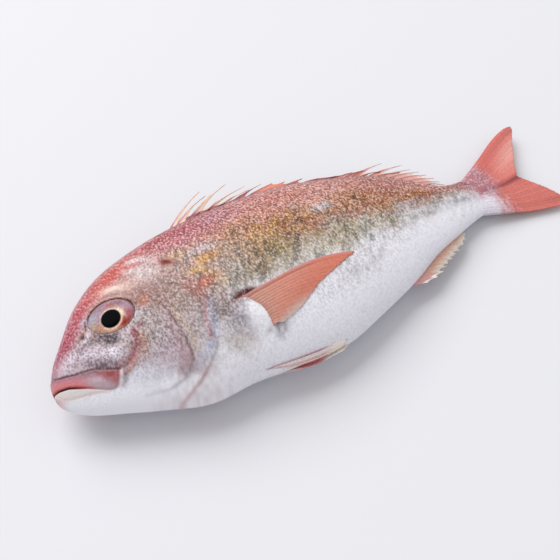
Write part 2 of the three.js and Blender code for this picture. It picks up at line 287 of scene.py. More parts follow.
# Swellings and hollows of the head, each with its rise, place, size and tilt
HEAD_FORMS = (
    (1.0, (46, 28.5), (11, 2.6), -4), (-0.9, (33, 2.5), (8, 3), -42), (-0.5, (22, 9.5), (7, 1.6), 38),
    (0.9, (25, 0), (9, 3.6), -30), (0.6, (12, 5), (6, 3.5), 20), (0.6, (38, -2.5), (5, 4), -30),
    (0.5, (22.5, -12.5), (5, 2), -38), (-1.1, (77, 28), (2.6, 1.1), -50),
    (-1.0, (24, 13.6), (1.1, 0.9), 30), (-0.6, (27.2, 17.5), (1.4, 0.8), 60),
    (-0.5, (50.5, 2.2), (2, 1.4), 0),
)
# Folds of the head, each with its depth, path and width
HEAD_CREASES = (
    (0.45, LIP_END[:4], 0.6), (0.12, LIP_SEAM, 0.8), (0.18, LOWER_LIP, 0.6), (0.8, CHEEK_FOLD, 1.4),
    (0.5, GILL_FOLD, 1.2),
)


def from_socket(x, y):
    """1 on the rim of the eye's socket, less inside it."""
    return oval(x, y, EYE_PLACE, SOCKET_RADII, SOCKET_TILT)


def head_relief(x, y):
    rim = from_socket(x, y)
    height = -SOCKET_DEPTH * fade(rim, 0.94, 1.0)
    height += 0.45 * hill(rim, 1.06, 0.06)
    for rise, place, size, tilt in HEAD_FORMS:
        height += rise * spot(x, y, place, size, tilt)
    for depth, path, width in HEAD_CREASES:
        height -= depth * crease(x, y, path, width)
    height += UPPER_LIP_RISE * within(x, y, UPPER_LIP, 2.0) + UNDER_LIP_RISE * within(x, y, UNDER_LIP, 1.2)
    height -= (MOUTH_DEPTH - 1.7 * ramp(x, 8, 19)) * crease(x, y, MOUTH, 0.42)
    height -= 0.85 * crease(x, y, LIP_GROOVE, 0.45) * ramp(x, -1, 4)
    height += overlap(x, y, CHEEK_EDGE[::-1], CHEEK_PLATE_RISE, 9) * fade(y, 8, 16) * ramp(x, 44, 58)
    height += overlap(x, y, GILL_EDGE[::-1], GILL_COVER_RISE, 12) * fade(y, 4, 20) * ramp(x, 47, 60)
    height += 0.45 * crease(x, y, SHOULDER_RIDGE, 1.6)
    lobe = across(x, y, FIN_LOBE_EDGE)
    height += 1.0 * spot(x, y, (99, -20), (9, 9)) * ramp(lobe[0] * -lobe[1], -1.0, 1.6)
    return height - AXIL_DEPTH * within(x, y, AXIL, 1.6)


SCALE_LENGTH = 4.3
SCALE_ROW = 2.15
SCALE_SLOPE = 0.32
SCALE_HEIGHT = 0.16


def scale_relief(x, y):
    """Overlapping scales: at each place the slope of the foremost one shows, rising to its rear edge."""
    tilted = x - SCALE_SLOPE * y
    row = np.round(y / SCALE_ROW)
    best = np.zeros(x.shape)
    for near in (-1, 0, 1):
        this = row + near
        shift = 0.5 * (this % 2) * SCALE_LENGTH
        for step in (-1, 0, 1):
            column = np.round((tilted - shift) / SCALE_LENGTH) + step
            dx = tilted - shift - column * SCALE_LENGTH
            dy = y - this * SCALE_ROW
            inside = np.hypot(dx / (0.72 * SCALE_LENGTH), dy / (1.05 * SCALE_ROW)) < 1
            best = np.where(inside, np.maximum(best, 0.5 + dx / (1.44 * SCALE_LENGTH)), best)
    return best


def scaly(x, y):
    """1 where the skin has scales and 0 on the bare snout, lips and eye rims."""
    behind = ramp(x - 0.35 * np.abs(y - 5), 40, 62)
    return behind * (1 - ramp(x, 262, 270) * 0.5)


CLOUD_CELLS = 96


def cloud(x, y, size, seed, stretch=1.0, tilt=0.0):
    """Smooth noise from 0 to 1 in patches of a size in millimetres, stretched across the body."""
    draw = np.random.default_rng(seed).random((CLOUD_CELLS, CLOUD_CELLS))
    turn = math.radians(tilt)
    u = (x * math.cos(turn) + y * math.sin(turn)) / size + 20
    v = (y * math.cos(turn) - x * math.sin(turn)) / (size * stretch) + 40
    i, j = np.floor(u).astype(int), np.floor(v).astype(int)
    s, t = ramp(u - i, 0, 1), ramp(v - j, 0, 1)
    corner = [draw[(i + a) % CLOUD_CELLS, (j + b) % CLOUD_CELLS] for a in (0, 1) for b in (0, 1)]
    return (corner[0] * (1 - t) + corner[1] * t) * (1 - s) + (corner[2] * (1 - t) + corner[3] * t) * s


def linear(colour):
    """An sRGB hex colour as linear red, green and blue."""
    parts = [int(colour[i:i + 2], 16) / 255 for i in (1, 3, 5)]
    return np.array([c / 12.92 if c <= 0.04045 else ((c + 0.055) / 1.055) ** 2.4 for c in parts])


def node(tree, kind, links=None, **settings):
    """Adds a node, sets its properties and inputs, and links sockets into it."""
    made = tree.nodes.new(kind)
    for name, value in settings.items():
        if hasattr(made, name):
            setattr(made, name, value)
    for name, value in (links or {}).items():
        socket = made.inputs[name]
        if isinstance(value, bpy.types.NodeSocket):
            tree.links.new(value, socket)
        else:
            socket.default_value = value
    return made


def face_outwards():
    """Turns every face of the active piece outwards."""
    bpy.ops.object.mode_set(mode="EDIT")
    bpy.ops.mesh.select_all(action="SELECT")
    bpy.ops.mesh.normals_make_consistent(inside=False)
    bpy.ops.object.mode_set(mode="OBJECT")


def move_within_box(thing, places):
    """Moves the points of a piece, none past the CAD box."""
    move_to(thing, np.clip(places, np.array(cad_box[0]), np.array(cad_box[1])))


bpy.ops.object.select_all(action="DESELECT")
bpy.ops.mesh.primitive_uv_sphere_add(segments=SEGMENTS, ring_count=RINGS, radius=1)
skin = bpy.context.object
skin.name = "skin"
ball = places_of(skin)
ring = np.round(np.arccos(np.clip(ball[:, 2], -1, 1)) / math.pi * RINGS) / RINGS
turn = np.round(np.arctan2(ball[:, 1], ball[:, 0]) / (2 * math.pi) * SEGMENTS) % SEGMENTS
share = ring * ring / (ring + SNOUT_CROWDING) * (1 + SNOUT_CROWDING)
skin_x = BODY_LENGTH * blend(share ** TAIL_RING_POWER, share, HEAD_RING_SHARE)
is_upper = turn <= UPPER_SEGMENTS
part = np.where(is_upper, turn / UPPER_SEGMENTS, (SEGMENTS - turn) / (SEGMENTS - UPPER_SEGMENTS))
angle = blend(np.arccos(np.clip(1 - 2 * part, -1, 1)), math.pi * part, EVEN_SHARE)
pole = (ring < 1e-6) | (ring > 1 - 1e-6)
cosine = np.where(pole, 0, np.cos(angle))
middle = widest_at(skin_x)
skin_y = middle + cosine * np.where(cosine > 0, back_at(skin_x) - middle, middle - belly_at(skin_x))
side = np.where(is_upper, 1.0, -1.0) * ~pole
plain = lay(points(skin_x, skin_y, side * width_at(skin_x) * flank_share(cosine)))
move_to(skin, to_frame(plain))
face_outwards()
outward = np.empty(len(plain) * 3, np.float32)
skin.data.vertex_normals.foreach_get("vector", outward)
outward = outward.reshape(-1, 3).astype(float)
edge_fade = ramp(1 - np.abs(cosine), 0.0, 0.05)
scales = scale_relief(skin_x, skin_y) * scaly(skin_x, skin_y)
relief = head_relief(skin_x, skin_y) * ramp(1 - np.abs(cosine), 0.0, 0.02)
relief += SCALE_HEIGHT * scales * edge_fade
relief = np.where(relief > 0, relief * ramp(skin_x, -3, 4), relief)
free = ramp(plain[:, 2], 0.2, 2.5)
move_within_box(skin, to_frame(plain + outward * (relief * free)[:, None]))
bpy.ops.object.shade_smooth()

# Colours of the skin
# Living pigment under clear scales: coral red on the back, flecks of gold and olive over the flank,
# and a silver white belly. The head is silver and lilac under a crimson forehead.
BANDS_AT = (0, 20, 40, 60, 85, 100, 120, 150, 170, 200, 230, 250, 270)
RED_ENDS_AT = (3, 11, 31, 34, 32, 26, 27, 24, 19, 12, 8, 7, 5)
GOLD_ENDS_AT = (-3, 2, 8, 8, 4, 0, -5, 0, -4, 1, 4, 5, 2)
red_end = np.interp(skin_x, BANDS_AT, RED_ENDS_AT)
gold_end = np.interp(skin_x, BANDS_AT, GOLD_ENDS_AT)


def here(form, *details):
    """A form or a pattern at every point of the skin."""
    return form(skin_x, skin_y, *details)


drift = (here(cloud, 9, 1) - 0.5) * 9 + (here(cloud, 3, 2, 2.0, -18) - 0.5) * 5
y_drifted = skin_y + drift * ramp(skin_x, 55, 95)
paint = np.tile(linear("#F4F4FF"), (len(skin_x), 1))


def laid_over(under, amount, colour):
    """The colours with one more laid over them, thicker where the amount is near 1."""
    weight = np.clip(amount, 0, 1)[:, None]
    return under * (1 - weight) + linear(colour) * weight


def tint(amount, colour):
    """Lays a colour over the skin."""
    paint[:] = laid_over(paint, amount, colour)


def daub(x, y, length, height, colour, strength, tilt=0.0, ragged=0.6):
    """A patch of colour with a broken edge."""
    broken = 1 - ragged + ragged * 2 * here(cloud, 1.5, int(x * 7 + length), 1.8, -18)
    tint(strength * broken * here(spot, (x, y), (length, height), tilt), colour)


def line(path, width, colour, strength):
    """A soft stroke of colour that comes and goes a little on its way."""
    uneven = 0.75 + 0.45 * here(cloud, 2.2, 41)
    tint(strength * uneven * here(crease, path, width), colour)


on_body = ramp(skin_x, 62, 88)
tint(ramp(skin_y, -22, 2) * (1 - 0.6 * ramp(skin_x, 190, 230)), "#D6D6DB")
tint(0.9 * on_body * ramp(y_drifted, gold_end - 9, gold_end + 4), "#B0A596")
olive = here(cloud, 7, 12)
on_flank_back = ramp(y_drifted, gold_end - 3, gold_end + 7) * fade(skin_x, 190, 225)
tint(0.7 * on_body * on_flank_back * (0.45 + 0.8 * olive), "#A08A60")
pinkish = here(cloud, 8, 15, 1.4, -20)
tint(0.75 * on_body * ramp(y_drifted, gold_end + 3, gold_end + 12) * (0.3 + pinkish), "#B8867A")
on_red_back = ramp(y_drifted, red_end - 7, red_end + 5)
tint(on_red_back, "#BC7C72")
tint(0.7 * ramp(skin_x, 105, 125) * on_red_back, "#D09484")
tint(0.6 * ramp(y_drifted, red_end + 6, red_end + 16) * (0.4 + here(cloud, 8, 14)), "#B8686C")

# A band of amber and brown along the upper flank, from the shoulder to the end of the dorsal fin
AMBER_AT = (100, 112, 120, 133, 142, 153, 165, 178, 190, 200, 215, 228, 240)
AMBER_LEVEL = (27, 25, 21, 19, 19, 16, 17, 19, 18, 15, 11, 8, 8)
AMBER_REACH = (3, 6, 8, 8, 8, 8, 6, 7, 9, 9, 7, 4, 2)
amber_level = np.interp(skin_x, AMBER_AT, AMBER_LEVEL)
amber = hill(skin_y + 0.5 * drift, amber_level, np.interp(skin_x, AMBER_AT, AMBER_REACH))
amber *= between(skin_x, 96, 112, 232, 244)
mottle = here(cloud, 4.2, 17, 1.3, -20)
tint(0.9 * amber * (0.5 + 0.8 * mottle), "#B4763C")
gold = ramp(here(cloud, 3.6, 18, 1.3, -20), 0.5, 0.75) * fade(skin_x, 150, 190)
tint(0.85 * amber * gold, "#D09A46")
tint(0.6 * amber * ramp(here(cloud, 3.0, 19, 1.5, -20), 0.55, 0.8), "#8A5A34")
tint(0.95 * ramp(cosine, 0.77, 0.96) * (0.7 + 0.3 * mottle) * ramp(skin_x, 60, 90), "#96464E")
tint(0.8 * ramp(cosine, 0.8, 0.96) * between(skin_x, 160, 185, 235, 250), "#9E5A50")
from_top = back_at(skin_x) - skin_y
tint(0.7 * fade(from_top, 1.5, 5.0) * between(skin_x, 110, 135, 235, 246), "#8E4A50")
high_back = between(skin_x, 138, 160, 180, 196) * ramp(skin_y, 8, 20) * ramp(from_top, 3, 8)
tint(0.2 * high_back, "#E0B4A4")
tint(0.4 * between(skin_x, 186, 206, 240, 250) * ramp(y_drifted, 8, 14), "#965C48")

# Head, from the forehead down
before_gills = fade(skin_x, 62, 84)
tint(before_gills * fade(skin_y, -38, -28) * 0.8, "#E6DFE8")
jaw_line = np.interp(skin_x, (0, 10, 24, 36, 48, 56, 66), (-9, -12, -15.5, -17.5, -21, -28, -35))
tint(0.95 * before_gills * ramp(skin_y - jaw_line, -2.5, 4), "#B4A6AE")
upper_head = ramp(skin_y, -14, 4) * fade(skin_y, red_end - 4, red_end + 2)
tint(fade(skin_x, 76, 94) * upper_head * 0.9, "#A58A86")
for patch in (
    (80, 45, 24, 8, "#AE464C", 0.95, -3, 0.3), (88, 38, 11, 5, "#B8626A", 0.8, -6, 0.5),
    (56, 40, 15, 6, "#C25850", 0.95, 10, 0.35), (48, 37.0, 12, 6.0, "#C64C3C", 1.0, 24, 0.25),
    (37, 32.6, 11, 6.2, "#BE4A44", 1.0, 34, 0.25), (27, 26, 13, 6.2, "#B84450", 1.0, 42, 0.25),
    (16, 15.6, 12, 5.6, "#B03E58", 1.0, 48, 0.25), (8, 9, 8, 4, "#A0506A", 0.9, 48, 0.3),
    (2.5, 3, 5, 3, "#8E5A68", 0.8, 40, 0.3), (31, 23.5, 6, 1.8, "#C07C80", 0.5, 40, 0.4),
    # The palest lilac daubs here and in the next two lines, over the swellings before and under the eye,
    # are silver skin with painted highlights.
    (13, 4.5, 6, 3.6, "#DCCEDE", 0.95, 18, 0.4), (12, -2.5, 7, 2.6, "#C2AEC0", 0.9, -20, 0.4),
    (23, 2.0, 8, 5, "#C4B6C8", 0.95, -20, 0.4), (25.5, 12.2, 5.5, 1.7, "#DCCEDC", 0.95, 34, 0.3),
    (33.4, -3.2, 6, 3.4, "#DCD6E8", 0.95, -38, 0.3), (45.5, 1.6, 6.5, 4.0, "#E6DCE8", 1.0, -10, 0.3),
    # The dark daub that begins this line is painted shade in the hollow below the eye.
    (35.5, 4.4, 7.2, 3.0, "#483C4C", 0.95, -30, 0.3), (26, 7.9, 8.5, 1.3, "#7C6A7C", 0.85, -6, 0.4),
    (20, 5.5, 6, 1.2, "#86707E", 0.6, 20, 0.4), (28, -6.4, 9, 1.9, "#6C5266", 0.8, -30, 0.4),
    (9, -0.2, 6, 1.4, "#9E8290", 0.4, -26, 0.5), (51.5, 9, 4.4, 3, "#DCD6E0", 0.95, 30, 0.4),
    (57, 7, 6, 6, "#A69CA0", 0.85, 0, 0.5), (52, -4, 5, 9, "#A08E88", 0.85, -55, 0.5),
    (59, -9, 7, 10, "#B8AEB4", 0.85, 0, 0.4), (38, -17.8, 7, 3.6, "#D6D6E2", 0.95, -14, 0.4),
    (48, -22.5, 10, 5, "#CDCCD8", 0.9, -10, 0.4), (56, -18, 7, 8, "#BCA8B4", 0.75, 60, 0.4),
    (60, -27, 6, 3.6, "#94828A", 0.8, 30, 0.4), (50.5, 2.4, 2.2, 1.8, "#7E4448", 0.95, 0, 0.2),
    (57.6, 13.4, 3.4, 2.4, "#AC6444", 0.9, 15, 0.4), (55, 18, 5, 6, "#A06E64", 0.85, 30, 0.5),
    # The pale band that begins this line, on the ridge over the eye, is a painted highlight.
    (49, 28.6, 8.5, 2.3, "#F4D8C8", 1.0, -22, 0.2), (46, 24.4, 9, 1.5, "#A8605A", 0.7, -12, 0.3),
    (41, 28.2, 5, 1.4, "#D8A096", 0.5, 20, 0.3), (58, 27, 8, 3.4, "#D2A49C", 0.8, -25, 0.6),
    (67, 27.2, 7, 3.6, "#E4D8DA", 0.9, -30, 0.5), (62, 33.6, 6, 2, "#E6CCCC", 0.8, -30, 0.4),
    (66, 39.6, 6, 1.6, "#ECD0D0", 0.85, -14, 0.3), (62, 37.4, 5, 1.4, "#BC5C56", 0.7, -25, 0.5),
    (62, 15, 11, 7, "#8E564C", 0.85, -50, 0.4), (72, 14, 7, 9, "#946E62", 0.85, 0, 0.5),
    (74, 4, 6, 9, "#9C8076", 0.85, 0, 0.5), (73, -13, 6, 10, "#A8989A", 0.85, 0, 0.5),
    (74, 24, 6, 5, "#AE7E78", 0.7, -40, 0.6), (82, 22, 7, 5, "#B48C84", 0.8, -20, 0.6),
    (88.5, 5.4, 5.6, 4, "#BA6444", 1.0, 10, 0.25), (82, 10, 5, 5, "#B4746A", 0.8, 0, 0.5),
    (95.5, 18.2, 6.2, 3.0, "#D0942C", 1.0, -6, 0.2), (87, 14.4, 5.2, 2.0, "#CC9A40", 1.0, -30, 0.2),
    (93.6, 8.6, 6, 1.7, "#CEA450", 1.0, -62, 0.2), (96.5, 2.5, 3, 1.2, "#CCB288", 0.7, -62, 0.4),
    (84, 28, 5.5, 3, "#D0A068", 0.9, -10, 0.5), (96, 24.6, 8, 3, "#C4BAC2", 0.8, -4, 0.6),
    (98, 12, 6, 4, "#A08478", 0.75, -40, 0.6), (104, 6, 7, 7, "#A69C94", 0.7, 0, 0.7),
    (90, -3, 6, 7, "#B09690", 0.8, 10, 0.6), (83, 0, 4, 10, "#9E7068", 0.8, 8, 0.4),
):
    daub(*patch)
cover_edge = ((85.4, -3), (84.8, -7.7), (82.7, -11.8), (80.6, -16.7), (77.9, -21.2), (74.8, -24.4))
line(cover_edge, 2.2, "#969CB8", 0.85)
line((cover_edge[-1], (71.1, -26.6), (67.0, -28.3)), 2.4, "#B4B6C8", 0.65)
for patch in (
    (89, -12, 6, 10, "#9C8C8A", 0.95, 0, 0.3), (96, -11.5, 5, 4, "#94807E", 0.95, 0, 0.3),
    (109, -32, 4.5, 5, "#A8A2AE", 0.8, -20, 0.7), (86, -27, 7, 5, "#BCB4B4", 0.85, -30, 0.4),
    (92, -28, 5, 6, "#D0C8C4", 0.7, 0, 0.4), (94, -20, 6, 8, "#A49EA8", 0.95, 0, 0.3),
    (103.6, -19.5, 4.6, 7, "#F4F6FC", 0.95, 0, 0.3),
):
    daub(*patch)
line(SHOULDER_RIDGE, 1.5, "#EED6D6", 0.8)
line(((64.5, 0.8), (63.2, -6), (62.8, -13), (62.4, -20), (61, -25)), 2.3, "#B4909A", 0.65)
line(((60.8, 14.6), (65, 4.6), (65.7, -4), (65.9, -13), (65.7, -21), (64.8, -26)), 0.8, "#7E5A4C", 0.75)
line(((68.3, 1), (68.9, -7), (69.2, -14), (68.6, -22)), 1.5, "#C0A890", 0.55)
line(CHEEK_EDGE[6:], 0.9, "#A89AA6", 0.3)
line(((50.5, -3), (54, -8.5), (60.5, -15)), 0.8, "#86787A", 0.4)
line(((78.2, 8.9), (79.8, 5.0), (82.1, 1.1), (84.6, -2.0)), 1.6, "#9C625E", 0.8)
line(((81.6, -4), (79.5, -10.1), (78.4, -15.6), (76.9, -20.7)), 1.2, "#A4646A", 0.75)
line(GILL_EDGE[8:], 1.0, "#C8989A", 0.5)
line(CHEEK_FOLD, 2.6, "#A05660", 0.9)
line(((39.5, -12.2), (36.5, -13.4), (34.6, -14.6)), 2.0, "#A8765E", 0.65)
line(((48.8, -2), (48.4, -7), (45.8, -10.8)), 1.6, "#B07E5C", 0.6)
for patch in (
    (57.8, 14.2, 3.2, 2.2, "#B8663E", 0.9, 30, 0.3), (89, 6, 5.6, 3.6, "#C0603C", 0.85, 10, 0.3),
    (95.8, 19.4, 5, 2.6, "#D8942A", 0.85, -6, 0.2), (77.2, 28.6, 5.4, 1.8, "#AC3A1E", 1.0, -42, 0.0),
    (77.8, 27.8, 2.8, 0.9, "#5A1E12", 1.0, -46, 0.0),
):
    daub(*patch)

# Lips, whose edge is bare and coral towards the mouth
upper_lip = here(within, UPPER_LIP, 0.9)
under_lip = here(within, UNDER_LIP, 0.9)
from_mouth = here(across, MOUTH)[0]
tint(upper_lip, "#BE7884")
tint(upper_lip * fade(from_mouth, 0.6, 3.0) * fade(skin_x, 13, 21), "#D26E6A")
tint(0.95 * upper_lip * ramp(skin_x, 13, 21) * fade(from_mouth, 3.5, 7), "#B8A2AE")
tint(0.85 * upper_lip * here(spot, (19.5, -5.8), (6, 1.9), -24), "#7C6070")
# The lip is painted darker towards the groove above it: painted shade in that fold.
tint(0.5 * upper_lip * fade(here(across, LIP_GROOVE)[0], 0.6, 2.6), "#7E5868")
tint(upper_lip * here(spot, (28.0, -11.4), (4.6, 2.5), -36), "#8E3E38")
tint(0.9 * upper_lip * here(spot, (28.9, -14.6), (2.4, 2.6), -50), "#A45A60")
tint(0.35 * upper_lip * here(crease, LIP_SEAM, 0.8), "#8A6470")
tint(0.95 * under_lip, "#D8D0D0")
line(LOWER_LIP, 0.6, "#FAE8E8", 0.8)
# The dark line in the groove is painted shade.
line(LIP_GROOVE[1:], 0.6, "#5A3444", 0.9)
line(tuple((px + 0.7, py - 0.2) for px, py in LIP_END[:4]), 0.8, "#E8D4D8", 0.75)
line(tuple((px + 2.6, py - 0.8) for px, py in LIP_END[:4]), 1.5, "#75697A", 0.6)
# Dark along the slit of the mouth is painted shade between the lips.
tint(fade(skin_x, 9, 18) * here(crease, MOUTH, 0.5), "#4E181A")
tint(0.8 * between(skin_x, 6, 12, 17, 21) * here(crease, MOUTH, 0.45), "#C2545C")
tint(0.35 * fade(skin_x, 1.5, 5) * fade(skin_y, -9, -5), "#E2A8A4")

# Flank below the amber band, and single patches on it
for patch in (
    (128, 8, 13, 7, "#9C8656", 0.75, 0, 0.8), (119, 11, 5, 4, "#B28C54", 0.7, 0, 0.8),
    (110, 16, 6, 5, "#B08A6C", 0.6, 0, 0.7), (141, 18, 4.5, 4, "#9A5E34", 0.75, 0, 0.8),
    (153, 14.5, 6, 5, "#A86C42", 0.75, -10, 0.8), (166, 20.5, 7, 3, "#C8C2C8", 0.85, 5, 0.5),
    (164, 9, 8, 3, "#A8948E", 0.7, 0, 0.7), (187.4, 20.4, 2.2, 3.0, "#6A4426", 0.9, -30, 0.4),
    (191.5, 6, 4, 3, "#A8754C", 0.7, 0, 0.7), (197, 8, 7, 3.4, "#B08058", 0.7, -20, 0.8),
    (174, 2, 16, 5, "#A8A48C", 0.75, -5, 0.8), (156, -3, 15, 6, "#D0C8B8", 0.8, -5, 0.7),
    (188, 2, 12, 5, "#CAC2B6", 0.7, -4, 0.6), (213.9, 5, 6, 2.6, "#BAB2C0", 0.9, 0, 0.5),
    (205, 1, 8, 2.4, "#C4BEC6", 0.6, 0, 0.6), (227, 3, 13, 3, "#AE7C5E", 0.85, -2, 0.6),
    (218, -4, 11, 3.4, "#B0ABA9", 0.7, -2, 0.6), (162, -22, 20, 6, "#CACAD0", 0.6, 6, 0.6),
    (228.5, 7.6, 7, 3.0, "#B4622F", 1.0, -4, 0.4), (243, 8, 10, 3.0, "#A46A5A", 0.85, -2, 0.5),
    (256, 8.4, 13, 4.2, "#A0605F", 0.9, -4, 0.4), (238, 4.6, 16, 3, "#A08078", 0.75, -3, 0.5),
    (247, -3, 17, 4, "#B0AEB8", 0.75, -3, 0.5), (232, 1, 9, 2.6, "#A8A2A0", 0.6, -3, 0.5),
    (98, 40, 9, 6, "#AC5560", 0.7, 0, 0.5), (112, 42, 8, 4, "#AA7A8C", 0.6, 0, 0.6),
    (122, 39, 7, 4, "#AC6070", 0.5, 0, 0.6), (150, 38, 16, 7, "#C07462", 0.7, 0, 0.7),
    (190, 34, 20, 6, "#B87C6A", 0.5, -18, 0.6),
):
    daub(*patch)
tint(0.97 * here(within, AXIL, 1.2), "#7A2C26")
tint(0.7 * here(crease, AXIL[:4], 1.0), "#84483E")
line(tuple((px + 0.8, py - 0.4) for px, py in FIN_LOBE_EDGE), 1.0, "#9A94A2", 0.5)
mauve = ramp(skin_x - 0.35 * np.abs(skin_y - 2), 246, 262) * ramp(skin_y, -12, 3)
tint(0.9 * mauve * (0.75 + 0.5 * (mottle - 0.5)), "#AA6E7C")
# The lower end of the trunk is painted paler and pinker: partly the silver of the tail's base, partly
# painted light that evens out the shade on its rounded end.
tint(0.3 * ramp(skin_x, 262, 270) * fade(skin_y, -12, 0), "#DCC8D2")
in_socket = here(from_socket)
# Dark brown on the wall of the socket, round the eyeball, is painted shade in that hollow.
tint(0.95 * fade(in_socket, 0.97, 1.03), "#6A3A30")
tint(0.85 * hill(in_socket, 1.04, 0.05) * ramp(skin_y + 0.3 * skin_x, 26, 34), "#5E2E24")
tint(0.5 * hill(in_socket, 1.16, 0.07) * ramp(skin_y, 16, 22), "#CC9C8C")
for patch in (
    # The dark daubs that begin this line are painted shade in the two nostril pits.
    (24, 13.4, 1.9, 1.1, "#3C1414", 1.0, 40, 0.0), (27.6, 17.6, 1.2, 0.6, "#6A4A58", 0.9, 60, 0.0),
    (26.6, 15.4, 1.7, 1.0, "#A8764E", 0.8, 40, 0.0), (28.0, 20.6, 2.0, 2.6, "#A89AB0", 0.9, -30, 0.2),
):
    daub(*patch)

# Fine streaks down the flank, where the scales' edges catch dust-fine dark pigment
WHITEST = 0.97
streaks = ramp(here(cloud, 1.5, 21, 3.4, -24), 0.5, 0.78)
in_streaks = on_body * ramp(skin_y, gold_end - 24, gold_end - 2)
in_streaks *= fade(y_drifted, red_end - 6, red_end + 6)
in_streaks *= 1 - 0.6 * ramp(skin_x, 185, 215)
paint *= (1 - 0.46 * streaks * in_streaks)[:, None] ** np.array((1.0, 1.03, 1.1))
comb = ramp(here(cloud, 1.3, 22, 5, -24), 0.5, 0.8) * ramp(skin_x, 205, 222) * ramp(skin_y, -8, 0)
paint *= (1 - 0.35 * comb * fade(skin_y, red_end - 1, red_end + 3))[:, None]
shade = 0.88 + 0.24 * here(cloud, 1.3, 5, 1.8, -20)
paint *= (1 + (shade - 1) * ramp(skin_x, 20, 60))[:, None]
paint *= (1 + 0.24 * (scales - 0.62) * edge_fade * ramp(skin_x, 80, 100))[:, None]
paint = np.clip(paint, 0, None)
paint *= WHITEST / np.maximum(paint.max(1), WHITEST)[:, None]

# How thickly dark flecks and painted glints lie on each part of the skin
belly_fade = fade(skin_y, belly_at(skin_x) + 8, belly_at(skin_x) + 34)
# The lower belly is painted a little darker: painted shade where the body turns down, away from the light.
paint *= (1 - 0.035 * belly_fade)[:, None]
fleck = 0.45 + 0.5 * ramp(y_drifted, gold_end - 12, red_end + 2)
on_head = 0.5 + 0.3 * ramp(skin_y, -30, -6)
on_head *= ramp(skin_x, 4, 14) * ramp(skin_y + 0.25 * skin_x, -21, -10)
fleck = blend(fleck, on_head, before_gills)
fleck *= (1 - 0.72 * belly_fade) * (1 - 0.75 * upper_lip) * (1 - 0.95 * under_lip)
fleck *= 1 - 0.8 * here(spot, (101, -20), (7, 8))
forehead = ramp(skin_y + 0.2 * skin_x, 24, 34) * fade(skin_x, 60, 80)
at_notch = here(spot, (77.2, 28.4), (6, 2.6), -42)
fleck += 0.3 * here(spot, (91, -13), (8, 14))
fleck *= (1 - 0.3 * forehead) * (1 - 0.6 * here(spot, (48, 28), (11, 4), -20))
fleck *= 1 - 0.95 * at_notch
fleck *= 1 - 0.5 * ramp(skin_x, 200, 225) * fade(skin_y, -8, 2)
# Pale grains are painted glints of the silver under the scales.
glint_share = 0.28 + 0.4 * ramp(y_drifted, -24, 2)
glint_share *= 1 - 0.4 * before_gills
glint_share *= 1 - 0.5 * ramp(cosine, 0.88, 0.98)
glint_share *= (1 - here(spot, (24, 13.4), (2.6, 2))) * (1 - at_notch)
glint_share *= (1 - 0.8 * under_lip) * (1 - 0.7 * upper_lip)


def paint_points(thing, name, colours):
    """Stores one colour, or up to three strengths, for each point of a piece."""
    whole = np.ones((len(colours), 4), np.float32)
    whole[:, :colours.shape[1]] = colours
    thing.data.color_attributes.new(name, "FLOAT_COLOR", "POINT").data.foreach_set("color", whole.ravel())


paint_points(skin, "pigment", paint)
paint_points(skin, "marks", np.stack((fleck, glint_share), -1))

# Fish skin, moist and clear over pigment and silver, so it shines softly, with painted glints in fine
# grains mixed into its colour.
# The dark spots are pigment cells, drawn over 1 mm apart, coarser than they are, so that they show.
SPOT_SPACING = 1.5
GRAIN = 1.05
FINE_GRAIN = 0.7
PIGMENT_SLANT = math.radians(18)
PIT_DEPTH = 0.45
PORE_DEPTH = 0.2
DARK_CELLS = "#988684"
GLINT_COLOUR = "#F6EEF4"
BRIGHTEST_GLINT = 0.62
fish_skin = bpy.data.materials.new("moist_fish_skin")
fish_skin.use_nodes = True
tree = fish_skin.node_tree
shader = tree.nodes["Principled BSDF"]
where = node(tree, "ShaderNodeTexCoord").outputs["Object"]
slanted = node(tree, "ShaderNodeMapping", {"Vector": where, "Rotation": (0, 0, PIGMENT_SLANT),
                                           "Scale": (1, 0.66, 0.8)}).outputs["Vector"]
pigment = node(tree, "ShaderNodeAttribute", attribute_name="pigment").outputs["Color"]
marks = node(tree, "ShaderNodeAttribute", attribute_name="marks").outputs["Color"]
marks = node(tree, "ShaderNodeSeparateColor", {"Color": marks}).outputs
spots = node(tree, "ShaderNodeTexVoronoi", {"Vector": slanted, "Scale": 1 / (SPOT_SPACING * MM)})
grain = node(tree, "ShaderNodeTexNoise", {"Vector": slanted, "Scale": 1 / (GRAIN * MM), "Detail": 2.0,
                                          "Roughness": 0.6}).outputs["Fac"]
fine = node(tree, "ShaderNodeTexNoise", {"Vector": where, "Scale": 1 / (FINE_GRAIN * MM), "Detail": 1.0})
fine = fine.outputs["Fac"]
spots = spots.outputs["Distance"]
dot = node(tree, "ShaderNodeMapRange", {"Value": spots, "From Min": 0.45, "From Max": 0.2})
blotch = node(tree, "ShaderNodeMapRange", {"Value": grain, "From Min": 0.49, "From Max": 0.63})
dark = node(tree, "ShaderNodeMath", {0: dot.outputs[0], 1: blotch.outputs[0]}, operation="MAXIMUM")
dark = node(tree, "ShaderNodeMath", {0: dark.outputs[0], 1: marks["Red"]}, operation="MULTIPLY")
light = node(tree, "ShaderNodeMapRange", {"Value": grain, "From Min": 0.47, "From Max": 0.34,
                                          "To Max": BRIGHTEST_GLINT})
light = node(tree, "ShaderNodeMath", {0: light.outputs[0], 1: marks["Green"]}, operation="MULTIPLY")
flecked = node(tree, "ShaderNodeMix", data_type="RGBA", blend_type="MULTIPLY")
tree.links.new(dark.outputs[0], flecked.inputs[0])
tree.links.new(pigment, flecked.inputs[6])
flecked.inputs[7].default_value = (*linear(DARK_CELLS), 1)
